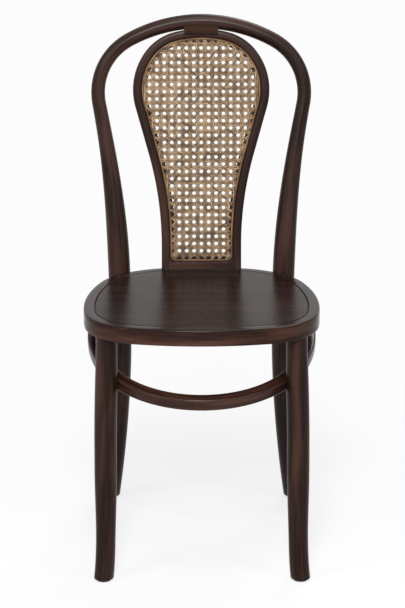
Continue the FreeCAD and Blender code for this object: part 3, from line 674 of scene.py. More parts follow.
@dataclass(frozen=True)
class WornPart(Finish):
    """Metal or plastic with fine wear; the defaults are those of plated and blackened steel.

    Attributes:
        roughness: Roughness where the part is least and most worn.
        skin_scale: Scale of the fine skin that makes the relief.
    """

    colour: Colour
    worn: Colour
    roughness: tuple[float, float]
    metallic: float = 1.0
    patch_scale: Triple = (420.0, 420.0, 420.0)
    patch_detail: tuple[float, float] = (3.0, 0.6)
    patch_band: Band = (0.35, 0.7)
    rough_band: Band = (0.2, 0.8)
    skin_scale: Triple = (420.0, 420.0, 420.0)
    skin_detail: tuple[float, float] = (3.0, 0.6)
    relief: float = 0.15
    relief_depth: float = 0.0002

    def paint(self, shader: Shader) -> None:
        """Tone and roughness that vary in small patches, under a fine skin.

        Args:
            shader: The material's node tree.
        """
        place = shader.object_place()
        patches = shader.noise(place, self.patch_scale, *self.patch_detail)
        skin = shader.noise(place, self.skin_scale, *self.skin_detail)
        tone = shader.blend(shader.ramp(patches, *self.patch_band), self.colour, self.worn)
        roughness = shader.ramp(patches, *self.rough_band, *self.roughness)
        shader.principled(Base_Color=tone, Roughness=roughness, Metallic=self.metallic,
                          Normal=shader.bump(skin, self.relief, self.relief_depth))


@dataclass
class Finishes:
    """All finishes of the chair, made once."""

    bent_wood: Material = field(default_factory=StainedBeech("bent_beech", GrainSource.BENT).make)
    seat_veneer: Material = field(default_factory=StainedBeech(
        "seat_veneer", GrainSource.ACROSS_SEAT, gloss=0.27, shine=0.075, relief=0.02, streak=0.4,
        deep=stained(20, 11, 8), body=stained(31, 19, 15), warm=stained(43, 28, 23)).make)
    # The rim's top is painted darker as shade above the seat height.
    rim_wood: Material = field(default_factory=StainedBeech(
        "rim_beech", GrainSource.BENT, gloss=0.21, shine=0.10, relief=0.07, painted_shade_above=SEAT_HEIGHT - 0.0005,
        deep=stained(26, 16, 13), body=stained(50, 33, 27), warm=stained(92, 64, 54)).make)
    bow_wood: Material = field(default_factory=StainedBeech(
        "bow_beech", GrainSource.BENT, gloss=0.22, shine=0.14, relief=0.08,
        deep=stained(28, 17, 14), body=stained(48, 32, 26), warm=stained(86, 60, 50)).make)
    block_wood: Material = field(default_factory=StainedBeech(
        "block_beech", GrainSource.ACROSS_SEAT, gloss=0.45, shine=0.06,
        deep=stained(22, 12, 8), body=stained(38, 23, 15), warm=stained(58, 36, 24)).make)
    plug_wood: Material = field(default_factory=StainedBeech(
        "plug_beech", GrainSource.ACROSS_SEAT, deep=stained(34, 18, 13), body=stained(50, 29, 22)).make)
    bare_wood: Material = field(default_factory=StainedBeech(
        "bare_beech", GrainSource.UPRIGHT, gloss=0.6, shine=0.3,
        deep=stained(176, 140, 104), body=stained(201, 166, 128), warm=stained(212, 178, 138)).make)
    cane: Material = field(default_factory=SplitCane("split_cane").make)
    reed: Material = field(default_factory=SplitCane(
        "reed_spline", pale=stained(132, 106, 80), tan=stained(100, 76, 56), brown=stained(52, 36, 27)).make)
    plated: Material = field(default_factory=WornPart(
        "zinc_plate", stained(150, 150, 148), stained(186, 184, 176), (0.3, 0.45)).make)
    blackened: Material = field(default_factory=WornPart(
        "dark_steel", stained(58, 50, 45), stained(92, 80, 70), (0.35, 0.5)).make)
    nylon: Material = field(default_factory=WornPart(
        "glide_nylon", stained(46, 38, 34), stained(90, 80, 72), (0.45, 0.6), metallic=0.0,
        patch_scale=(260.0, 260.0, 260.0), patch_detail=(4.0, 0.7), patch_band=(0.5, 0.8, 0.0, 0.5),
        rough_band=(0.3, 0.7), skin_scale=(2200.0, 2200.0, 2200.0), skin_detail=(1.0, 0.5),
        relief=0.2, relief_depth=0.0001).make)


# Seat


@dataclass
class SeatOutline:
    """Seat outline of eight tangent arcs, measured from the middle of the seat."""

    half_width: float = 0.2060
    front_reach: float = 0.2045
    rear_reach: float = 0.2087
    widest_y: float = -0.0385
    front_radius: float = 0.492
    front_corner_radius: float = 0.114
    side_radius: float = 0.451
    rear_corner_radius: float = 0.145
    rear_radius: float = 0.338
    steps: int = 36

    def centres(self) -> Array:
        """Centres of the right-hand half's five arcs, front to rear.

        Returns:
            Rows (x, y).
        """
        front = np.array([0.0, self.front_radius - self.front_reach])
        side = np.array([self.half_width - self.side_radius, self.widest_y])
        rear = np.array([0.0, self.rear_reach - self.rear_radius])
        front_corner = self.tangent_centre(
            front, self.front_radius, side, self.side_radius, self.front_corner_radius, -1.0)
        rear_corner = self.tangent_centre(
            side, self.side_radius, rear, self.rear_radius, self.rear_corner_radius, 1.0)
        return np.stack([front, front_corner, side, rear_corner, rear])

    @staticmethod
    def tangent_centre(first: Array, first_radius: float, second: Array, second_radius: float,
                       radius: float, side_y: float) -> Array:
        """Centre of the arc that touches two larger arcs from inside, on the +X side.

        It lies where circles of radius R1 - r and R2 - r round the two centres cross.

        Args:
            first: Centre of the first arc.
            first_radius: Radius R1.
            second: Centre of the second arc.
            second_radius: Radius R2.
            radius: Radius r of the arc between them.
            side_y: 1 for the crossing to the rear and -1 for the one to the front.

        Returns:
            The centre (x, y).
        """
        gap = second - first
        distance = float(np.linalg.norm(gap))
        reach = first_radius - radius
        along = (reach ** 2 - (second_radius - radius) ** 2 + distance ** 2) / (2.0 * distance)
        across = math.sqrt(reach ** 2 - along ** 2)
        way = gap / distance
        normal = np.array([-way[1], way[0]])
        options = [first + way * along + normal * across, first + way * along - normal * across]
        return max(options, key=lambda point: point[0] + side_y * point[1])

    def path(self) -> FlatPath:
        """Whole outline from the rear middle over the right-hand side round to the rear middle again.

        Returns:
            The closed path, without its first point again at the end.
        """
        centres = self.centres()
        radii = [self.front_radius, self.front_corner_radius, self.side_radius,
                 self.rear_corner_radius, self.rear_radius]
        joints = [(1, 0), (1, 2), (3, 2), (3, 4)]
        turns = [math.atan2(*(centres[to] - centres[start])[::-1]) for to, start in joints]
        angles = [-QUARTER_TURN, *turns, QUARTER_TURN]
        points = []
        outward = []
        for centre, radius, first, last in zip(centres, radii, angles[:-1], angles[1:]):
            angle = np.linspace(first, last, self.steps + 1)[1 if points else 0:]
            way = np.stack([np.cos(angle), np.sin(angle)], axis=-1)
            points.append(centre + radius * way)
            outward.append(way)
        half = FlatPath(np.concatenate(points)[::-1], np.concatenate(outward)[::-1])
        ring = half.with_mirror_image()
        return FlatPath(ring.points[:-1], ring.outward[:-1])

    def point_at(self, x: float, inset: float) -> Array:
        """Front point of the inset outline at a distance x from the middle.

        Args:
            x: Distance from the middle.
            inset: How far inside the outline the point lies.

        Returns:
            The point (x, y).
        """
        ring = self.path().inset(inset)
        front = ring[(ring[:, 1] < self.widest_y) & (ring[:, 0] > 0.0)]
        order = np.argsort(front[:, 0])
        return np.array([x, np.interp(x, front[order, 0], front[order, 1])])


@dataclass
class Seat:
    """Bent rim with a veneered panel let into it."""

    finishes: Finishes
    outline: SeatOutline
    rim_width: float = 0.040
    top_round: float = 0.0042
    bottom_round: float = 0.0035
    inner_round: float = 0.001
    fine_round: float = 0.0005
    panel_inset: float = 0.0205
    panel_thickness: float = 0.007
    groove_width: float = 0.0017
    groove_slope: float = 0.4
    groove_depth: float = 0.0024

    def rim_profile(self) -> Array:
        """Section of the rim as rows (inset from the edge, height).

        Returns:
            The closed section.
        """
        top = SEAT_HEIGHT
        floor = top - self.groove_depth
        ledge = top - self.panel_thickness
        corners = [
            (0.0, RIM_UNDERSIDE, self.bottom_round),
            (0.0, top, self.top_round),
            (self.panel_inset - self.groove_width, top, self.fine_round),
            (self.panel_inset - self.groove_slope * self.groove_width, floor, 0.8 * self.fine_round),
            (self.panel_inset, floor, 0.0),
            (self.panel_inset, ledge, 0.0),
            (self.rim_width, ledge, self.fine_round),
            (self.rim_width, RIM_UNDERSIDE, self.inner_round),
        ]
        return finely_divided(eased_outline(corners, steps=7), spacing=0.006)

    def build(self) -> None:
        """Make the rim and dress the panel."""
        path = self.outline.path()
        ground = with_depth(path.points - [0.0, SEAT_SETBACK], 0.0)
        upward = np.tile([0.0, 0.0, 1.0], (len(ground), 1))
        rim = profile_surface(ground, with_depth(-path.outward, 0.0), upward, self.rim_profile(), ring=True)
        make_piece("bent_seat_rim", [rim], self.finishes.rim_wood, ("seat_rim",))
        dress(("seat_panel",), self.finishes.seat_veneer)


# Back hoop with the rear legs


@dataclass(frozen=True)
class Foot:
    """Lower end of a leg, with an eased edge and cut level where it stands on its glide."""

    ground: float = 0.0035
    ease: float = 0.0012
    eased_rise: float = 0.3
    eased_share: float = 0.4
    full_from: float = 0.006
    level_zone: float = 0.06

    def heights(self, top: float, count: int) -> Array:
        """Heights of a leg's stations, from its eased edge to its top."""
        edge = self.ground + self.ease * np.array([0.0, self.eased_rise, 1.0])
        return np.concatenate([edge, np.linspace(self.ground + self.full_from, top, count)])

    def drawn_in(self, radii: Array) -> Array:
        """Radii of a leg's stations, less at its eased edge."""
        less = np.zeros_like(radii)
        less[:2] = self.ease, self.eased_share * self.ease
        return radii - less

    def level(self, heights: Array) -> Array:
        """Share by which sections lie level, from 1 at the ground to 0 above the zone."""
        return 1.0 - smooth((heights - self.ground) / self.level_zone)


@dataclass
class BackHoop:
    """One tapered round rod that forms both rear legs and the hoop of the back."""

    finishes: Finishes
    foot: Foot = Foot()
    base_half_width: float = 0.1502
    base_heading: float = math.radians(2.0)
    flare_radius: float = 1.857
    flare_turn: float = math.radians(8.44)
    straight: float = 0.034
    shoulder_radius: float = 0.1086
    shoulder_turn: float = math.radians(71.8)
    lean: float = math.radians(12.9)
    seat_y: float = 0.180
    bend_start: float = 0.400
    bend_length: float = 0.100
    seat_radius: float = 0.0200
    side_radius: float = 0.0126
    crown_radius: float = 0.0133
    crown_bend: float = 0.2736
    splay_back: float = 0.050
    splay_back_power: float = 1.6
    splay_out: float = 0.0242
    splay_out_power: float = 1.82
    splay_start: float = 0.330
    foot_radius: float = 0.0172
    foot_taper_power: float = 1.5
    leg_half_width: float = 0.1486
    leg_stations: int = 90
    spacing: float = 0.004
    plug_x: float = 0.014
    plug_radius: float = 0.005
    plug_sides: int = 24
    plug_reach: tuple[float, ...] = (1.0, 1.0, 0.9, 0.6, 0.2)
    plug_lift: tuple[float, ...] = (-0.004, -0.0003, 0.0001, 0.0001, 0.0001)

    def depth(self, z: Array) -> Array:
        """Front-to-back place of the centreline at a height.

        Below the bend the legs sweep back by splay * ((b - z) / b)^p, through the bend the slope
        grows evenly to tan(lean), and above it the hoop leans back in a straight line.

        Args:
            z: Heights.

        Returns:
            The place along Y at each height, measured from the middle of the seat.
        """
        rise = math.tan(self.lean)
        below = np.clip((self.bend_start - z) / self.bend_start, 0.0, None)
        inside = np.clip(z - self.bend_start, 0.0, self.bend_length)
        beyond = np.clip(z - self.bend_start - self.bend_length, 0.0, None)
        bent = rise * inside ** 2 / (2.0 * self.bend_length)
        return self.seat_y + self.splay_back * below ** self.splay_back_power + bent + rise * beyond

    def leg_centre(self, z: Array) -> Array:
        """Centres of the right-hand rear leg at heights below the seat top.

        Args:
            z: Heights.

        Returns:
            A centre for each height.
        """
        below = np.clip((self.splay_start - z) / self.splay_start, 0.0, None)
        above = np.clip((z - self.splay_start) / (SEAT_HEIGHT - self.splay_start), 0.0, None)
        x = (self.leg_half_width + self.splay_out * below ** self.splay_out_power
             + (self.base_half_width - self.leg_half_width) * above ** 2)
        return np.stack([x, self.depth(z), z], axis=-1)

    def leg_radius(self, z: Array) -> Array:
        """The leg is thickest at the seat and tapers to the foot."""
        share = np.clip(1.0 - z / SEAT_HEIGHT, 0.0, None)
        return self.seat_radius - (self.seat_radius - self.foot_radius) * share ** self.foot_taper_power

    def upper_half(self) -> tuple[Array, Array]:
        """Right half from the seat top to the crown.

        The radius falls as cos^2 from the seat to the widest place and grows again to the crown.

        Returns:
            Centres and radii.
        """
        trail = Trail(self.base_half_width, 0.0, self.base_heading)
        trail.arc(self.flare_radius, self.flare_turn).go(self.straight)
        trail.arc(self.shoulder_radius, -self.shoulder_turn).to_middle()
        x, s = trail.sampled(self.spacing).points.T
        widest = np.argmax(x)
        z = SEAT_HEIGHT + s * math.cos(self.lean)
        falling = np.cos(QUARTER_TURN * np.clip(s / s[widest], 0.0, 1.0)) ** 2
        rising = smooth(1.0 - x / x[widest])
        below = self.side_radius + (self.seat_radius - self.side_radius) * falling
        above = self.side_radius + (self.crown_radius - self.side_radius) * rising
        return np.stack([x, self.depth(z), z], axis=-1), np.where(s < s[widest], below, above)

    def build(self) -> None:
        """Make the rod and the plugs in its crown."""
        heights = self.foot.heights(SEAT_HEIGHT - self.spacing, self.leg_stations)
        upper, upper_radii = self.upper_half()
        right = np.concatenate([self.leg_centre(heights), upper])
        right_radii = np.concatenate([self.foot.drawn_in(self.leg_radius(heights)), upper_radii])
        left = (right * [-1.0, 1.0, 1.0])[::-1][1:]
        points = np.concatenate([right, left]) - [0.0, SEAT_SETBACK, 0.0]
        radii = np.concatenate([right_radii, right_radii[::-1][1:]])
        rod = rod_surface(points, radii, self.foot.level(points[:, 2]))
        make_piece("bent_back_hoop", [rod], self.finishes.bent_wood, ("back_hoop",))
        plugs = [self.plug_surface(side * self.plug_x, upper[-1]) for side in (-1.0, 1.0)]
        make_piece("crown_plugs", plugs, self.finishes.plug_wood, ("spacer_plugs",))

    def plug_surface(self, x: float, crown: Array) -> Surface:
        """Wooden plug in the crown whose face follows the rod.

        Its face lies sqrt(R^2 - q^2) above the rod's axis, q being the distance across the rod, and
        the axis falls away from the crown's middle on the circle of the crown's bend.

        Args:
            x: Middle of the plug, across the chair.
            crown: Centre of the rod at the crown.

        Returns:
            The plug's closed surface.
        """
        reach = np.array(self.plug_reach)[:, None] * self.plug_radius
        across = reach * np.cos(around(self.plug_sides))
        aside = reach * np.sin(around(self.plug_sides))
        face = np.sqrt(self.crown_radius ** 2 - aside ** 2) + np.array(self.plug_lift)[:, None]
        upward = np.array([0.0, math.sin(self.lean), math.cos(self.lean)])
        backward = np.array([0.0, math.cos(self.lean), -math.sin(self.lean)])
        sag = self.crown_bend - np.sqrt(self.crown_bend ** 2 - (x + across) ** 2)
        centre = crown - [0.0, SEAT_SETBACK, 0.0]
        grid = centre + (face - sag)[..., None] * upward + aside[..., None] * backward
        grid[..., 0] += x + across
        return Surface(grid, timber(across, aside, face))


# Front legs


@dataclass
class FrontLegs:
    """Pair of turned front legs that swell under the rim and sweep forward at the foot."""

    finishes: Finishes
    outline: SeatOutline
    foot: Foot = Foot()
    leg_x: float = 0.1633
    leg_inset: float = 0.020
    lean_out: float = 0.0032
    lean_share: float = 0.45
    kick_out: float = 0.0048
    kick_power: float = 12.0
    sweep: float = 0.054
    sweep_power: float = 1.5
    top_radius: float = 0.0183
    swell: float = 0.0012
    swell_share: float = 0.25
    taper: float = 0.0025
    taper_start: float = 0.55
    taper_share: float = 0.3
    level_top: float = 0.05
    stations: int = 100

    def centre(self, z: Array) -> Array:
        """Centres of the right-hand leg: x = a + b smooth(u / c) + k u^p and y = t - d u^q.

        Args:
            z: Heights, u being the share of the way from the rim down to the floor.

        Returns:
            A centre for each height.
        """
        top = self.outline.point_at(self.leg_x, self.leg_inset)
        share = (RIM_UNDERSIDE - z) / RIM_UNDERSIDE
        x = (self.leg_x + self.lean_out * smooth(share / self.lean_share)
             + self.kick_out * share ** self.kick_power)
        y = top[1] - self.sweep * share ** self.sweep_power - SEAT_SETBACK
        return np.stack([x, y, z], axis=-1)

    def radius(self, z: Array) -> Array:
        """The leg swells a little below the rim and tapers towards the foot."""
        share = (RIM_UNDERSIDE - z) / RIM_UNDERSIDE
        swell = self.swell * smooth(share / self.swell_share)
        return self.top_radius + swell - self.taper * smooth((share - self.taper_start) / self.taper_share)

    def build(self) -> None:
        """Make both legs, the right-hand one with its grain set off from the other's."""
        heights = self.foot.heights(RIM_UNDERSIDE, self.stations)
        radii = self.foot.drawn_in(self.radius(heights))
        under_rim = smooth((heights - RIM_UNDERSIDE + self.level_top) / self.level_top)
        level = np.maximum(self.foot.level(heights), under_rim)
        for side_name, side in (("left", -1.0), ("right", 1.0)):
            rod = rod_surface(self.centre(heights) * [side, 1.0, 1.0], radii, level)
            rod.grain[..., 1] += side
            make_piece("turned_leg_" + side_name, [rod], self.finishes.bent_wood,
                       ("front_leg_" + side_name,))


# Leg hoop


@dataclass
class LegHoop:
    """U-shaped bow of square section that ties the four legs together."""

    finishes: Finishes
    half_width: float = 0.1915
    half_depth: float = 0.214
    middle_y: float = 0.020
    front_height: float = 0.3240
    tilt: float = math.radians(14.5)
    section: float = 0.0215
    section_round: float = 0.00405
    shoulder_fill: float = 0.0016
    reach: float = math.radians(131.5)
    stations: int = 181

    def centreline(self, angle: Array) -> Array:
        """Ellipse on a plane that rises to the rear, a little fuller at its shoulders.

        Args:
            angle: Angles from the front middle, below zero on the left.

        Returns:
            A centre for each angle.
        """
        fill = np.where(np.abs(angle) < QUARTER_TURN, self.shoulder_fill * np.sin(2.0 * angle) ** 2, 0.0)
        x = self.half_width * np.sin(angle) + np.sign(angle) * fill
        y = self.middle_y - self.half_depth * np.cos(angle) - fill
        front_y = self.middle_y - self.half_depth
        z = self.front_height + (y - front_y) * math.tan(self.tilt)
        return np.stack([x, y - SEAT_SETBACK, z], axis=-1)

    def build(self) -> None:
        """Make the bow."""
        angle = np.linspace(-self.reach, self.reach, self.stations)
        points = self.centreline(angle)
        tangent = unit(np.gradient(points, angle, axis=0))
        normal = np.array([0.0, -math.sin(self.tilt), math.cos(self.tilt)])
        upward = unit(normal - (tangent @ normal)[:, None] * tangent)
        half = self.section / 2.0
        corners = [(u * half, v * half, self.section_round) for u, v in ((1, 1), (-1, 1), (-1, -1), (1, -1))]
        profile = finely_divided(eased_outline(corners, steps=7), spacing=0.004)
        bow = profile_surface(points, np.cross(tangent, upward), upward, profile)
        make_piece("bent_leg_hoop", [bow], self.finishes.bow_wood, ("leg_hoop",))


# Caned frame


@dataclass
class CanedFrame:
    """Bent inner frame of the back with its bottom rail, woven cane and reed spline.

    The flat drawing has x across, y up the frame and z towards the sitter.
    """

    finishes: Finishes
    half_width: float = 0.0728
    straight: float = 0.0425
    flare_radius: float = 0.616
    flare_turn: float = math.radians(15.77)
    upper_straight: float = 0.0885
    shoulder_radius: float = 0.1158
    shoulder_turn: float = math.radians(53.3)
    crown_radius: float = 0.0942
    crown_turn: float = math.radians(38.1)
    base_y: float = 0.1954
    lean: float = math.radians(11.2)
    depth: float = 0.015
    face: float = 0.016
    lip: float = 0.009
    outer_round: float = 0.0055
    inner_bevel: float = 0.003
    bevel_round: float = 0.0012
    back_round: float = 0.0015
    lip_recess: float = 0.004
    groove_width: float = 0.004
    groove_depth: float = 0.0026
    rail_height: float = 0.0135
    rail_corner: float = 0.011
    lip_round: float = 0.0004
    inner_round: float = 0.0006
    bevel_knee: tuple[float, float] = (0.4, 0.35)
    let_in: float = 0.0002
    corner_stations: int = 14
    rail_stations: int = 30
    spacing: float = 0.004
    opening_spacing: float = 0.002
    crease: float = 30.0
    reed_sides: int = 12
    reed_lift: float = 0.0003
    reed_half_height: float = 0.0017
    reed_edge_and_shade_tone: float = 0.4

    def stood(self, flat: Array) -> Array:
        """Flat drawing to its place on the chair: lean back about x and stand on the seat.

        Args:
            flat: Points (x, y, z) of the drawing.

        Returns:
            The same points in the chair's frame.
        """
        sine = math.sin(self.lean)
        cosine = math.cos(self.lean)
        x, y, z = np.moveaxis(flat, -1, 0)
        return np.stack([x, self.base_y - SEAT_SETBACK + y * sine - z * cosine,
                         SEAT_HEIGHT + y * cosine + z * sine], axis=-1)

    def half_trail(self, start_x: float, start_y: float, straight: float, inset: float) -> Trail:
        """Right-hand half of the outline moved inwards, from its foot to the crown.

        Args:
            start_x: Place of the foot across.
            start_y: Its place up the frame.
            straight: Length of the straight above it.
            inset: How far the outline is moved inwards.

        Returns:
            The trail.
        """
        trail = Trail(start_x, start_y, 0.0).go(straight)
        trail.arc(self.flare_radius + inset, self.flare_turn).go(self.upper_straight)
        trail.arc(self.shoulder_radius - inset, -self.shoulder_turn)
        return trail.arc(self.crown_radius - inset, -self.crown_turn).to_middle()

    def outer_path(self) -> FlatPath:
        """Outer edge of the whole frame from the right foot over the crown to the left foot."""
        half = self.half_trail(self.half_width, 0.0, self.straight, 0.0).sampled(self.spacing)
        return half.with_mirror_image()

    def opening_path(self, inset: float, spacing: float) -> FlatPath:
        """Right-hand half of the opening's outline, from the rail's middle to the crown.

        Args:
            inset: How far the outline lies inside the frame's outer edge.
            spacing: Distance between its points.

        Returns:
            The sampled half.
        """
        bottom = self.rail_height + inset - self.face
        radius = self.rail_corner - (inset - self.face)
        start = Trail(0.0, bottom, QUARTER_TURN)
        start.go(self.half_width - inset - radius).arc(radius, -QUARTER_TURN)
        upper = self.half_trail(start.x, start.y, self.straight - start.y, inset)
        start.runs += upper.runs
        return start.sampled(spacing)

    def depths(self) -> tuple[float, float, float]:
        """Depths of the front face, the lip behind the cane and the groove's floor."""
        half = self.depth / 2.0
        lip = half - self.lip_recess
        return half, lip, lip - self.groove_depth

    def section(self) -> Array:
        """Section of the bent frame as rows (inset from the outer edge, depth).

        Returns:
            The closed section.
        """
        half, lip, groove = self.depths()
        full = self.face + self.lip
        corners = [
            (0.0, half, self.outer_round),
            (self.face - self.inner_bevel, half, self.bevel_round),
            (self.face, half - self.inner_bevel, self.bevel_round),
            (self.face, groove, 0.0),
            (self.face + self.groove_width, groove, 0.0),
            (self.face + self.groove_width, lip, self.lip_round),
            (full, lip, self.inner_round),
            (full, -half, self.back_round),
            (0.0, -half, self.outer_round),
        ]
        return finely_divided(eased_outline(corners, steps=6), self.spacing)

    def loop_surface(self) -> Surface:
        """Bent frame, with its feet cut level and let into the seat by a hair.

        Returns:
            The frame's closed surface.
        """
        path = self.outer_path()
        inset, depth = self.section().T
        flat = path.points[:, None] - inset[None, :, None] * path.outward[:, None]
        flat = with_depth(flat, depth)
        for end in (0, -1):
            flat[end, :, 1] = -depth * math.tan(self.lean) - self.let_in
        return Surface(self.stood(flat), timber(lengths_along(path.points)[:, None], inset, depth))

    def rail_surface(self) -> Surface:
        """Bottom rail: its top follows the opening and its underside stands on the seat.

        A section point (w, z) above the rail's edge lies w along the normal of the opening's outline,
        and the points of its foot lie straight below that outline.

        Returns:
            The rail's closed surface.
        """
        half, lip, groove = self.depths()
        end_turn = np.linspace(0.0, QUARTER_TURN, self.corner_stations)
        flat_width = self.half_width - self.face - self.rail_corner
        arc = np.stack([flat_width + self.rail_corner * np.sin(end_turn),
                        self.rail_height + self.rail_corner * (1.0 - np.cos(end_turn))], axis=-1)
        arc_normal = np.stack([-np.sin(end_turn), np.cos(end_turn)], axis=-1)
        middle_x = np.linspace(-flat_width, flat_width, self.rail_stations)[1:-1]
        middle = np.stack([middle_x, np.full_like(middle_x, self.rail_height)], axis=-1)
        edge = np.concatenate([(arc * MIRROR)[::-1], middle, arc])
        normal = np.concatenate([(arc_normal * MIRROR)[::-1], np.tile([0.0, 1.0], (len(middle), 1)),
                                 arc_normal])
        bevel = self.inner_bevel
        knee_in, knee_down = self.bevel_knee
        front = [(-bevel, half), (-knee_in * bevel, half - knee_down * bevel), (0.0, half - bevel)]
        upper = [(0.0, groove), (self.groove_width, groove), (self.groove_width, lip), (self.lip, lip),
                 (self.lip, self.back_round - half), (self.lip - self.back_round, -half)]
        rows = [with_depth(edge + w * normal, z) for w, z in front + upper]
        flat = np.stack([self.on_seat(rows[0], half), *rows, self.on_seat(edge, -half)], axis=1)
        reach = self.half_width - self.face + self.inner_bevel
        flat[..., 0] = np.clip(flat[..., 0], -reach, reach)
        return Surface(self.stood(flat), flat)

    def on_seat(self, above: Array, depth: float) -> Array:
        """Row of flat points that lie on the seat at one depth, straight below others."""
        return np.column_stack([above[:, 0], np.full((len(above), 2), [-depth * math.tan(self.lean), depth])])

    def build(self) -> None:
        """Make the frame, rail, spline and cane, and dress the spacer."""
        for name, surface, node in (("bent_cane_frame", self.loop_surface(), "cane_frame_loop"),
                                    ("frame_bottom_rail", self.rail_surface(), "cane_frame_rail")):
            make_piece(name, [surface], self.finishes.bent_wood, (node,), self.crease)
        make_piece("reed_spline_strip", [self.reed_surface()], self.finishes.reed, ("cane_spline",))
        CaneWeave(self).build()
        dress(("hoop_spacer",), self.finishes.block_wood)

    def reed_surface(self) -> Surface:
        """Oval reed strip in the groove all round the cane: P + r cos a N, with r' sin a in depth.

        Returns:
            The strip's closed surface.
        """
        half = self.opening_path(self.face + self.groove_width / 2.0, self.opening_spacing)
        ring = half.with_mirror_image()
        points = ring.points[:-1]
        angle = around(self.reed_sides)
        radius = self.groove_width / 2.0
        flat = points[:, None] + radius * np.cos(angle)[None, :, None] * ring.outward[:-1, None]
        middle = self.depths()[1] + self.reed_lift
        grid = self.stood(with_depth(flat, middle + self.reed_half_height * np.sin(angle)))
        # The third grain value grows towards the reed's sides, which the cane finish darkens: partly the
        # reed's own edges, partly painted shade against the groove walls.
        grain = timber(lengths_along(points)[:, None], radius * angle, self.reed_edge_and_shade_tone * np.cos(angle))
        return Surface(grid, grain, ring=True)


class Lay(Enum):
    """Directions in which the cane strands run."""

    UPRIGHT = "up the frame"
    LEVEL = "across the frame"
    RISING = "rising to the right"
    FALLING = "falling to the right"


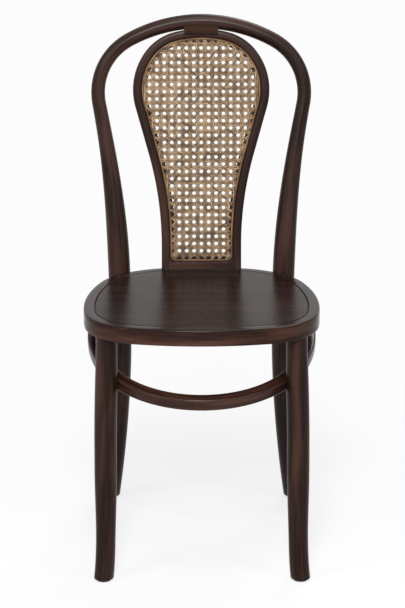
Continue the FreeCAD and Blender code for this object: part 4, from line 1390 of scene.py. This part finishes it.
@dataclass
class CaneWeave:
    """Six-way woven cane: pairs up and across, and single diagonals both ways.

    In units of the pitch the holes lie at whole numbers (a, b). The pairs lie halfway between, and the
    diagonals on a - b or a + b = k + 1/2, so that they pass the pairs between two crossings.

    Attributes:
        counts: Strands tried on each side of the middle; those outside the frame are left out.
        drop: How far a strand's end dips into the groove.
        strand_gap: Step across the grain from one strand to the next, which sets their tones apart.
        outline: A strand's section in shares of its width and thickness.
        steps: Points of a strand to the pitch, for pairs and for diagonals.
        trial_points: Points on a line that is tried, and how many of them a strand has to keep.
    """

    panel: CanedFrame
    pitch_x: float = 0.01345
    pitch_y: float = 0.01319
    first_row: float = 0.0330
    pair_offset: float = 0.0017
    pair_width: float = 0.0032
    diagonal_width: float = 0.0031
    strand_thickness: float = 0.0007
    pair_height: float = 0.000525
    diagonal_height: float = 0.00062
    diagonal_steepness: float = 2.4
    base_lift: float = 0.00105
    drop: float = 0.0022
    drop_length: float = 0.0045
    strand_gap: float = 0.07
    half_span: float = 0.16
    diagonal_span: float = 0.60
    counts: tuple[int, int, int] = (10, 34, 46)
    steps: tuple[int, int] = (8, 9)
    trial_points: tuple[int, int] = (1200, 8)
    fewest_steps: int = 4
    edge_spacing: float = 0.001
    outline: tuple[tuple[float, float], ...] = (
        (-0.5, 0.0), (-0.28, 0.5), (0.28, 0.5), (0.5, 0.0), (0.3, -0.42), (-0.3, -0.42))

    def limits(self) -> tuple[Array, Array]:
        """Heights and half widths of the outline at which the strands end.

        Returns:
            Rising heights, and the half width at each.
        """
        half = self.panel.opening_path(self.panel.face + 0.5 * self.panel.groove_width, self.edge_spacing)
        x, y = half.points.T
        rising = np.concatenate([[True], np.diff(y) > 0.1 * HAIR])
        return y[rising], x[rising]

    def inside(self, points: Array) -> Array:
        """True where a point of the flat drawing lies within the strands' outline.

        Args:
            points: Rows (x, y).

        Returns:
            A truth value for each.
        """
        heights, widths = self.limits()
        x, y = points.T
        return (y > heights[0]) & (y < heights[-1]) & (np.abs(x) < np.interp(y, heights, widths))

    def trimmed(self, start: Array, end: Array, spacing: float) -> Array | None:
        """The part of a straight line that lies inside the outline, evenly divided.

        Args:
            start: One end of the line.
            end: Its other end.
            spacing: Distance between the points of the result.

        Returns:
            Rows (x, y), or None where the line misses the outline or only nicks it.
        """
        tried, fewest = self.trial_points
        fine = start + (end - start) * np.linspace(0.0, 1.0, tried)[:, None]
        kept = fine[self.inside(fine)]
        if len(kept) < fewest:
            return None
        count = max(self.fewest_steps, int(np.linalg.norm(kept[-1] - kept[0]) / spacing))
        return kept[0] + (kept[-1] - kept[0]) * np.linspace(0.0, 1.0, count + 1)[:, None]

    def strand(self, line: Array, height: Array, width: float, number: int) -> Surface:
        """Flat-bottomed, domed strand along a line of the flat drawing, with both ends in the groove.

        Args:
            line: Places along the strand.
            height: Rise of the weave at each place.
            width: The strand's width.
            number: Its number, which gives it its tone.

        Returns:
            The strand's closed surface.
        """
        way = unit(line[-1] - line[0])
        along = lengths_along(line)
        from_end = np.minimum(along, along[-1] - along)
        dip = self.drop * (1.0 - smooth(from_end / self.drop_length))
        centre = self.panel.depths()[1] + self.base_lift + height - dip
        u, v = np.array(self.outline).T
        flat = line[:, None] + (u * width)[None, :, None] * np.array([-way[1], way[0]])
        depth = centre[:, None] + v * self.strand_thickness
        grain = timber(along[:, None], u * width + number * self.strand_gap, u)
        return Surface(self.panel.stood(with_depth(flat, depth)), grain)

    def crossing_wave(self, share: Array) -> Array:
        """Over and under at a crossing of two pairs: sin(pi t / 2 d) fading away from the crossing.

        Args:
            share: Place along the strand in pitches.

        Returns:
            Height of the strand.
        """
        width = 2.0 * self.pair_offset / self.pitch_y
        near = share - np.floor(share) - 0.5
        return self.pair_height * np.sin(math.pi * near / width) * np.exp(-(near / width) ** 2)

    def lattice(self, line: Array) -> tuple[Array, Array]:
        """Lattice coordinates (a, b) of points, in which the holes lie at whole numbers."""
        return line[:, 0] / self.pitch_x, (line[:, 1] - self.first_row) / self.pitch_y

    def paired(self, lay: Lay) -> list[Surface]:
        """Both strands of every pair that runs one way.

        Args:
            lay: Up or across the frame.

        Returns:
            A surface for each strand.
        """
        surfaces = []
        upright = lay is Lay.UPRIGHT
        top = self.limits()[0][-1]
        count = self.counts[0 if upright else 1]
        for index in range(-count, count + 1):
            for member, side in enumerate((-1.0, 1.0)):
                if upright:
                    x = (index + 0.5) * self.pitch_x + side * self.pair_offset
                    line = self.trimmed(np.array([x, 0.0]), np.array([x, top]), self.pitch_y / self.steps[0])
                else:
                    y = self.first_row + (index + 0.5) * self.pitch_y + side * self.pair_offset
                    line = self.trimmed(np.array([-self.half_span, y]), np.array([self.half_span, y]),
                                        self.pitch_x / self.steps[0])
                if line is None:
                    continue
                a, b = self.lattice(line)
                height = side * self.crossing_wave(b) if upright else -side * self.crossing_wave(a)
                surfaces.append(self.strand(line, height, self.pair_width, 4 * index + member))
        return surfaces

    def slanted(self, lay: Lay) -> list[Surface]:
        """Every diagonal strand that runs one way, over one pair and under the next.

        Args:
            lay: Rising or falling to the right.

        Returns:
            A surface for each strand.
        """
        surfaces = []
        way = 1.0 if lay is Lay.RISING else -1.0
        first_number = 2 if lay is Lay.RISING else 5
        reach = np.array([self.diagonal_span, way * self.pitch_y / self.pitch_x * self.diagonal_span])
        for index in range(-self.counts[2], self.counts[2] + 1):
            middle = np.array([(index + 0.5) * self.pitch_x, self.first_row])
            line = self.trimmed(middle - reach, middle + reach,
                                self.pitch_x * math.sqrt(2.0) / self.steps[1])
            if line is None:
                continue
            wave = np.tanh(self.diagonal_steepness * np.cos(2.0 * math.pi * self.lattice(line)[1]))
            surfaces.append(self.strand(line, way * self.diagonal_height * wave, self.diagonal_width,
                                        7 * index + first_number))
        return surfaces

    def build(self) -> None:
        """Make the strands of each way as one piece."""
        for name, surfaces in (("cane_uprights", self.paired(Lay.UPRIGHT)),
                               ("cane_crosspieces", self.paired(Lay.LEVEL)),
                               ("cane_diagonals_rising", self.slanted(Lay.RISING)),
                               ("cane_diagonals_falling", self.slanted(Lay.FALLING))):
            make_piece(name, surfaces, self.panel.finishes.cane, ("cane_panel",))


# Hardware


@dataclass
class Hardware:
    """Screws, bolts, dowels and glides that keep their CAD shape."""

    finishes: Finishes
    nodes: dict[str, tuple[str, ...]] = field(default_factory=lambda: {
        "plated": ("rail_screws", "leg_lock_screws", "leg_hoop_screws", "spacer_screws", "bolt_washers",
                   "bolt_nuts", "glide_nails"),
        "blackened": ("rear_leg_bolts",),
        "bare_wood": ("frame_foot_dowels", "rail_dowels"),
        "nylon": ("glide_front_left", "glide_front_right", "glide_rear_left", "glide_rear_right"),
    })

    def build(self) -> None:
        """Dress every node with the finish it is listed under."""
        for finish, names in self.nodes.items():
            dress(names, getattr(self.finishes, finish))


# Studio


@dataclass(frozen=True)
class Lamp:
    """Soft round lamp: where it hangs, how wide it is and its power in watts."""

    name: str
    place: Triple
    size: float
    power: float

    def hang(self, target: Triple) -> None:
        """Add the lamp, turned so that it shines at the target.

        Args:
            target: Point that it shines at.
        """
        lamp = bpy.data.lights.new(self.name, "AREA")
        lamp.shape = "DISK"
        lamp.size = self.size
        lamp.energy = self.power
        holder = bpy.data.objects.new(self.name, lamp)
        holder.location = self.place
        x, y, z = np.array(target) - np.array(self.place)
        holder.rotation_euler = (math.atan2(math.hypot(x, y), -z), 0.0, math.atan2(-x, y))
        bpy.context.scene.collection.objects.link(holder)


@dataclass
class Studio:
    """Pale floor, soft light and the camera."""

    camera_place: Triple = (-0.0049, -4.4443, 1.7057)
    pitch_down: float = 0.2794
    yaw_right: float = 0.0018
    roll: float = 0.0012
    focal_length: float = 153.82
    sensor: float = 36.0
    background: float = 0.975
    surroundings: float = 0.27
    floor_size: float = 60.0
    floor_colour: tuple[float, ...] = (0.80, 0.80, 0.80, 1.0)
    floor_shadow: float = 0.24
    shadow_reach: tuple[float, float] = (0.3, 1.3)
    lamp_target: Triple = (0.0, 0.0, 0.45)
    lamps: tuple[Lamp, ...] = (
        Lamp("left_lamp", (-2.8, -2.2, 3.1), 1.6, 46.0),
        Lamp("right_lamp", (2.8, -2.2, 3.1), 1.6, 32.0),
        Lamp("front_lamp", (-0.2, -3.5, 3.2), 1.0, 155.0),
        Lamp("top_lamp", (0.0, -0.8, 3.7), 0.9, 30.0),
        Lamp("rear_lamp", (0.9, 2.8, 3.8), 1.6, 60.0),
    )

    def build(self) -> None:
        """Make the floor, the light and the camera, and set plain colour output."""
        bpy.context.scene.view_settings.view_transform = "Standard"
        self.build_floor()
        self.build_world()
        for lamp in self.lamps:
            lamp.hang(self.lamp_target)
        self.build_camera()

    def seen(self, shader: Shader) -> Wire:
        """1 for rays that look at the background directly, by reflection or through glass.

        Args:
            shader: Node tree of the floor or the world.

        Returns:
            A value of 0 or 1.
        """
        path = shader.node("ShaderNodeLightPath", {}, {})
        names = ("Is Camera Ray", "Is Glossy Ray", "Is Transmission Ray")
        total = sum(Wire(shader, path.outputs[name]) for name in names)
        return shader.wire("ShaderNodeClamp", {}, {"Value": total})

    def build_floor(self) -> None:
        """Level floor that shows white, with the chair's soft shadow near it."""
        half = self.floor_size / 2.0
        mesh = bpy.data.meshes.new("studio_floor")
        corners = [(-half, -half, 0.0), (half, -half, 0.0), (half, half, 0.0), (-half, half, 0.0)]
        mesh.from_pydata(corners, [], [(0, 1, 2, 3)])
        material = bpy.data.materials.new("studio_floor")
        shader = Shader(material)
        plain = shader.wire("ShaderNodeBsdfDiffuse", {}, {"Color": self.floor_colour})
        white = shader.glow("ShaderNodeEmission", self.background)
        distance = shader.wire("ShaderNodeVectorMath", {"operation": "LENGTH"},
                               {0: shader.object_place()}, "Value")
        share = self.seen(shader) * shader.ramp(distance, *self.shadow_reach, 1.0 - self.floor_shadow, 1.0)
        shader.finish(shader.either(share, plain, white))
        mesh.materials.append(material)
        floor = bpy.data.objects.new("studio_floor", mesh)
        bpy.context.scene.collection.objects.link(floor)

    def build_world(self) -> None:
        """Even white surroundings: plain light on the chair, white where they are looked at."""
        world = bpy.data.worlds.new("studio_world")
        bpy.context.scene.world = world
        shader = Shader(world)
        light = shader.glow("ShaderNodeBackground", self.surroundings)
        white = shader.glow("ShaderNodeBackground", self.background)
        shader.finish(shader.either(self.seen(shader), light, white), "ShaderNodeOutputWorld")

    def build_camera(self) -> None:
        """Camera at the photograph's viewing angle."""
        data = bpy.data.cameras.new("photo_camera")
        data.lens = self.focal_length
        data.sensor_width = self.sensor
        camera = bpy.data.objects.new("photo_camera", data)
        camera.location = self.camera_place
        camera.rotation_euler = (QUARTER_TURN - self.pitch_down, self.roll, -self.yaw_right)
        bpy.context.scene.collection.objects.link(camera)
        bpy.context.scene.camera = camera


def main() -> None:
    """Build the chair's looks in order and write how large they came out."""
    logging.basicConfig(level=logging.INFO, format="%(name)s: %(message)s")
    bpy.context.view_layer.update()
    Studio().build()
    finishes = Finishes()
    outline = SeatOutline()
    for assembly in (Seat(finishes, outline), BackHoop(finishes), FrontLegs(finishes, outline),
                     LegHoop(finishes), CanedFrame(finishes), Hardware(finishes)):
        assembly.build()
        log.info("%s is done", type(assembly).__name__)


if __name__ == "__main__":
    main()
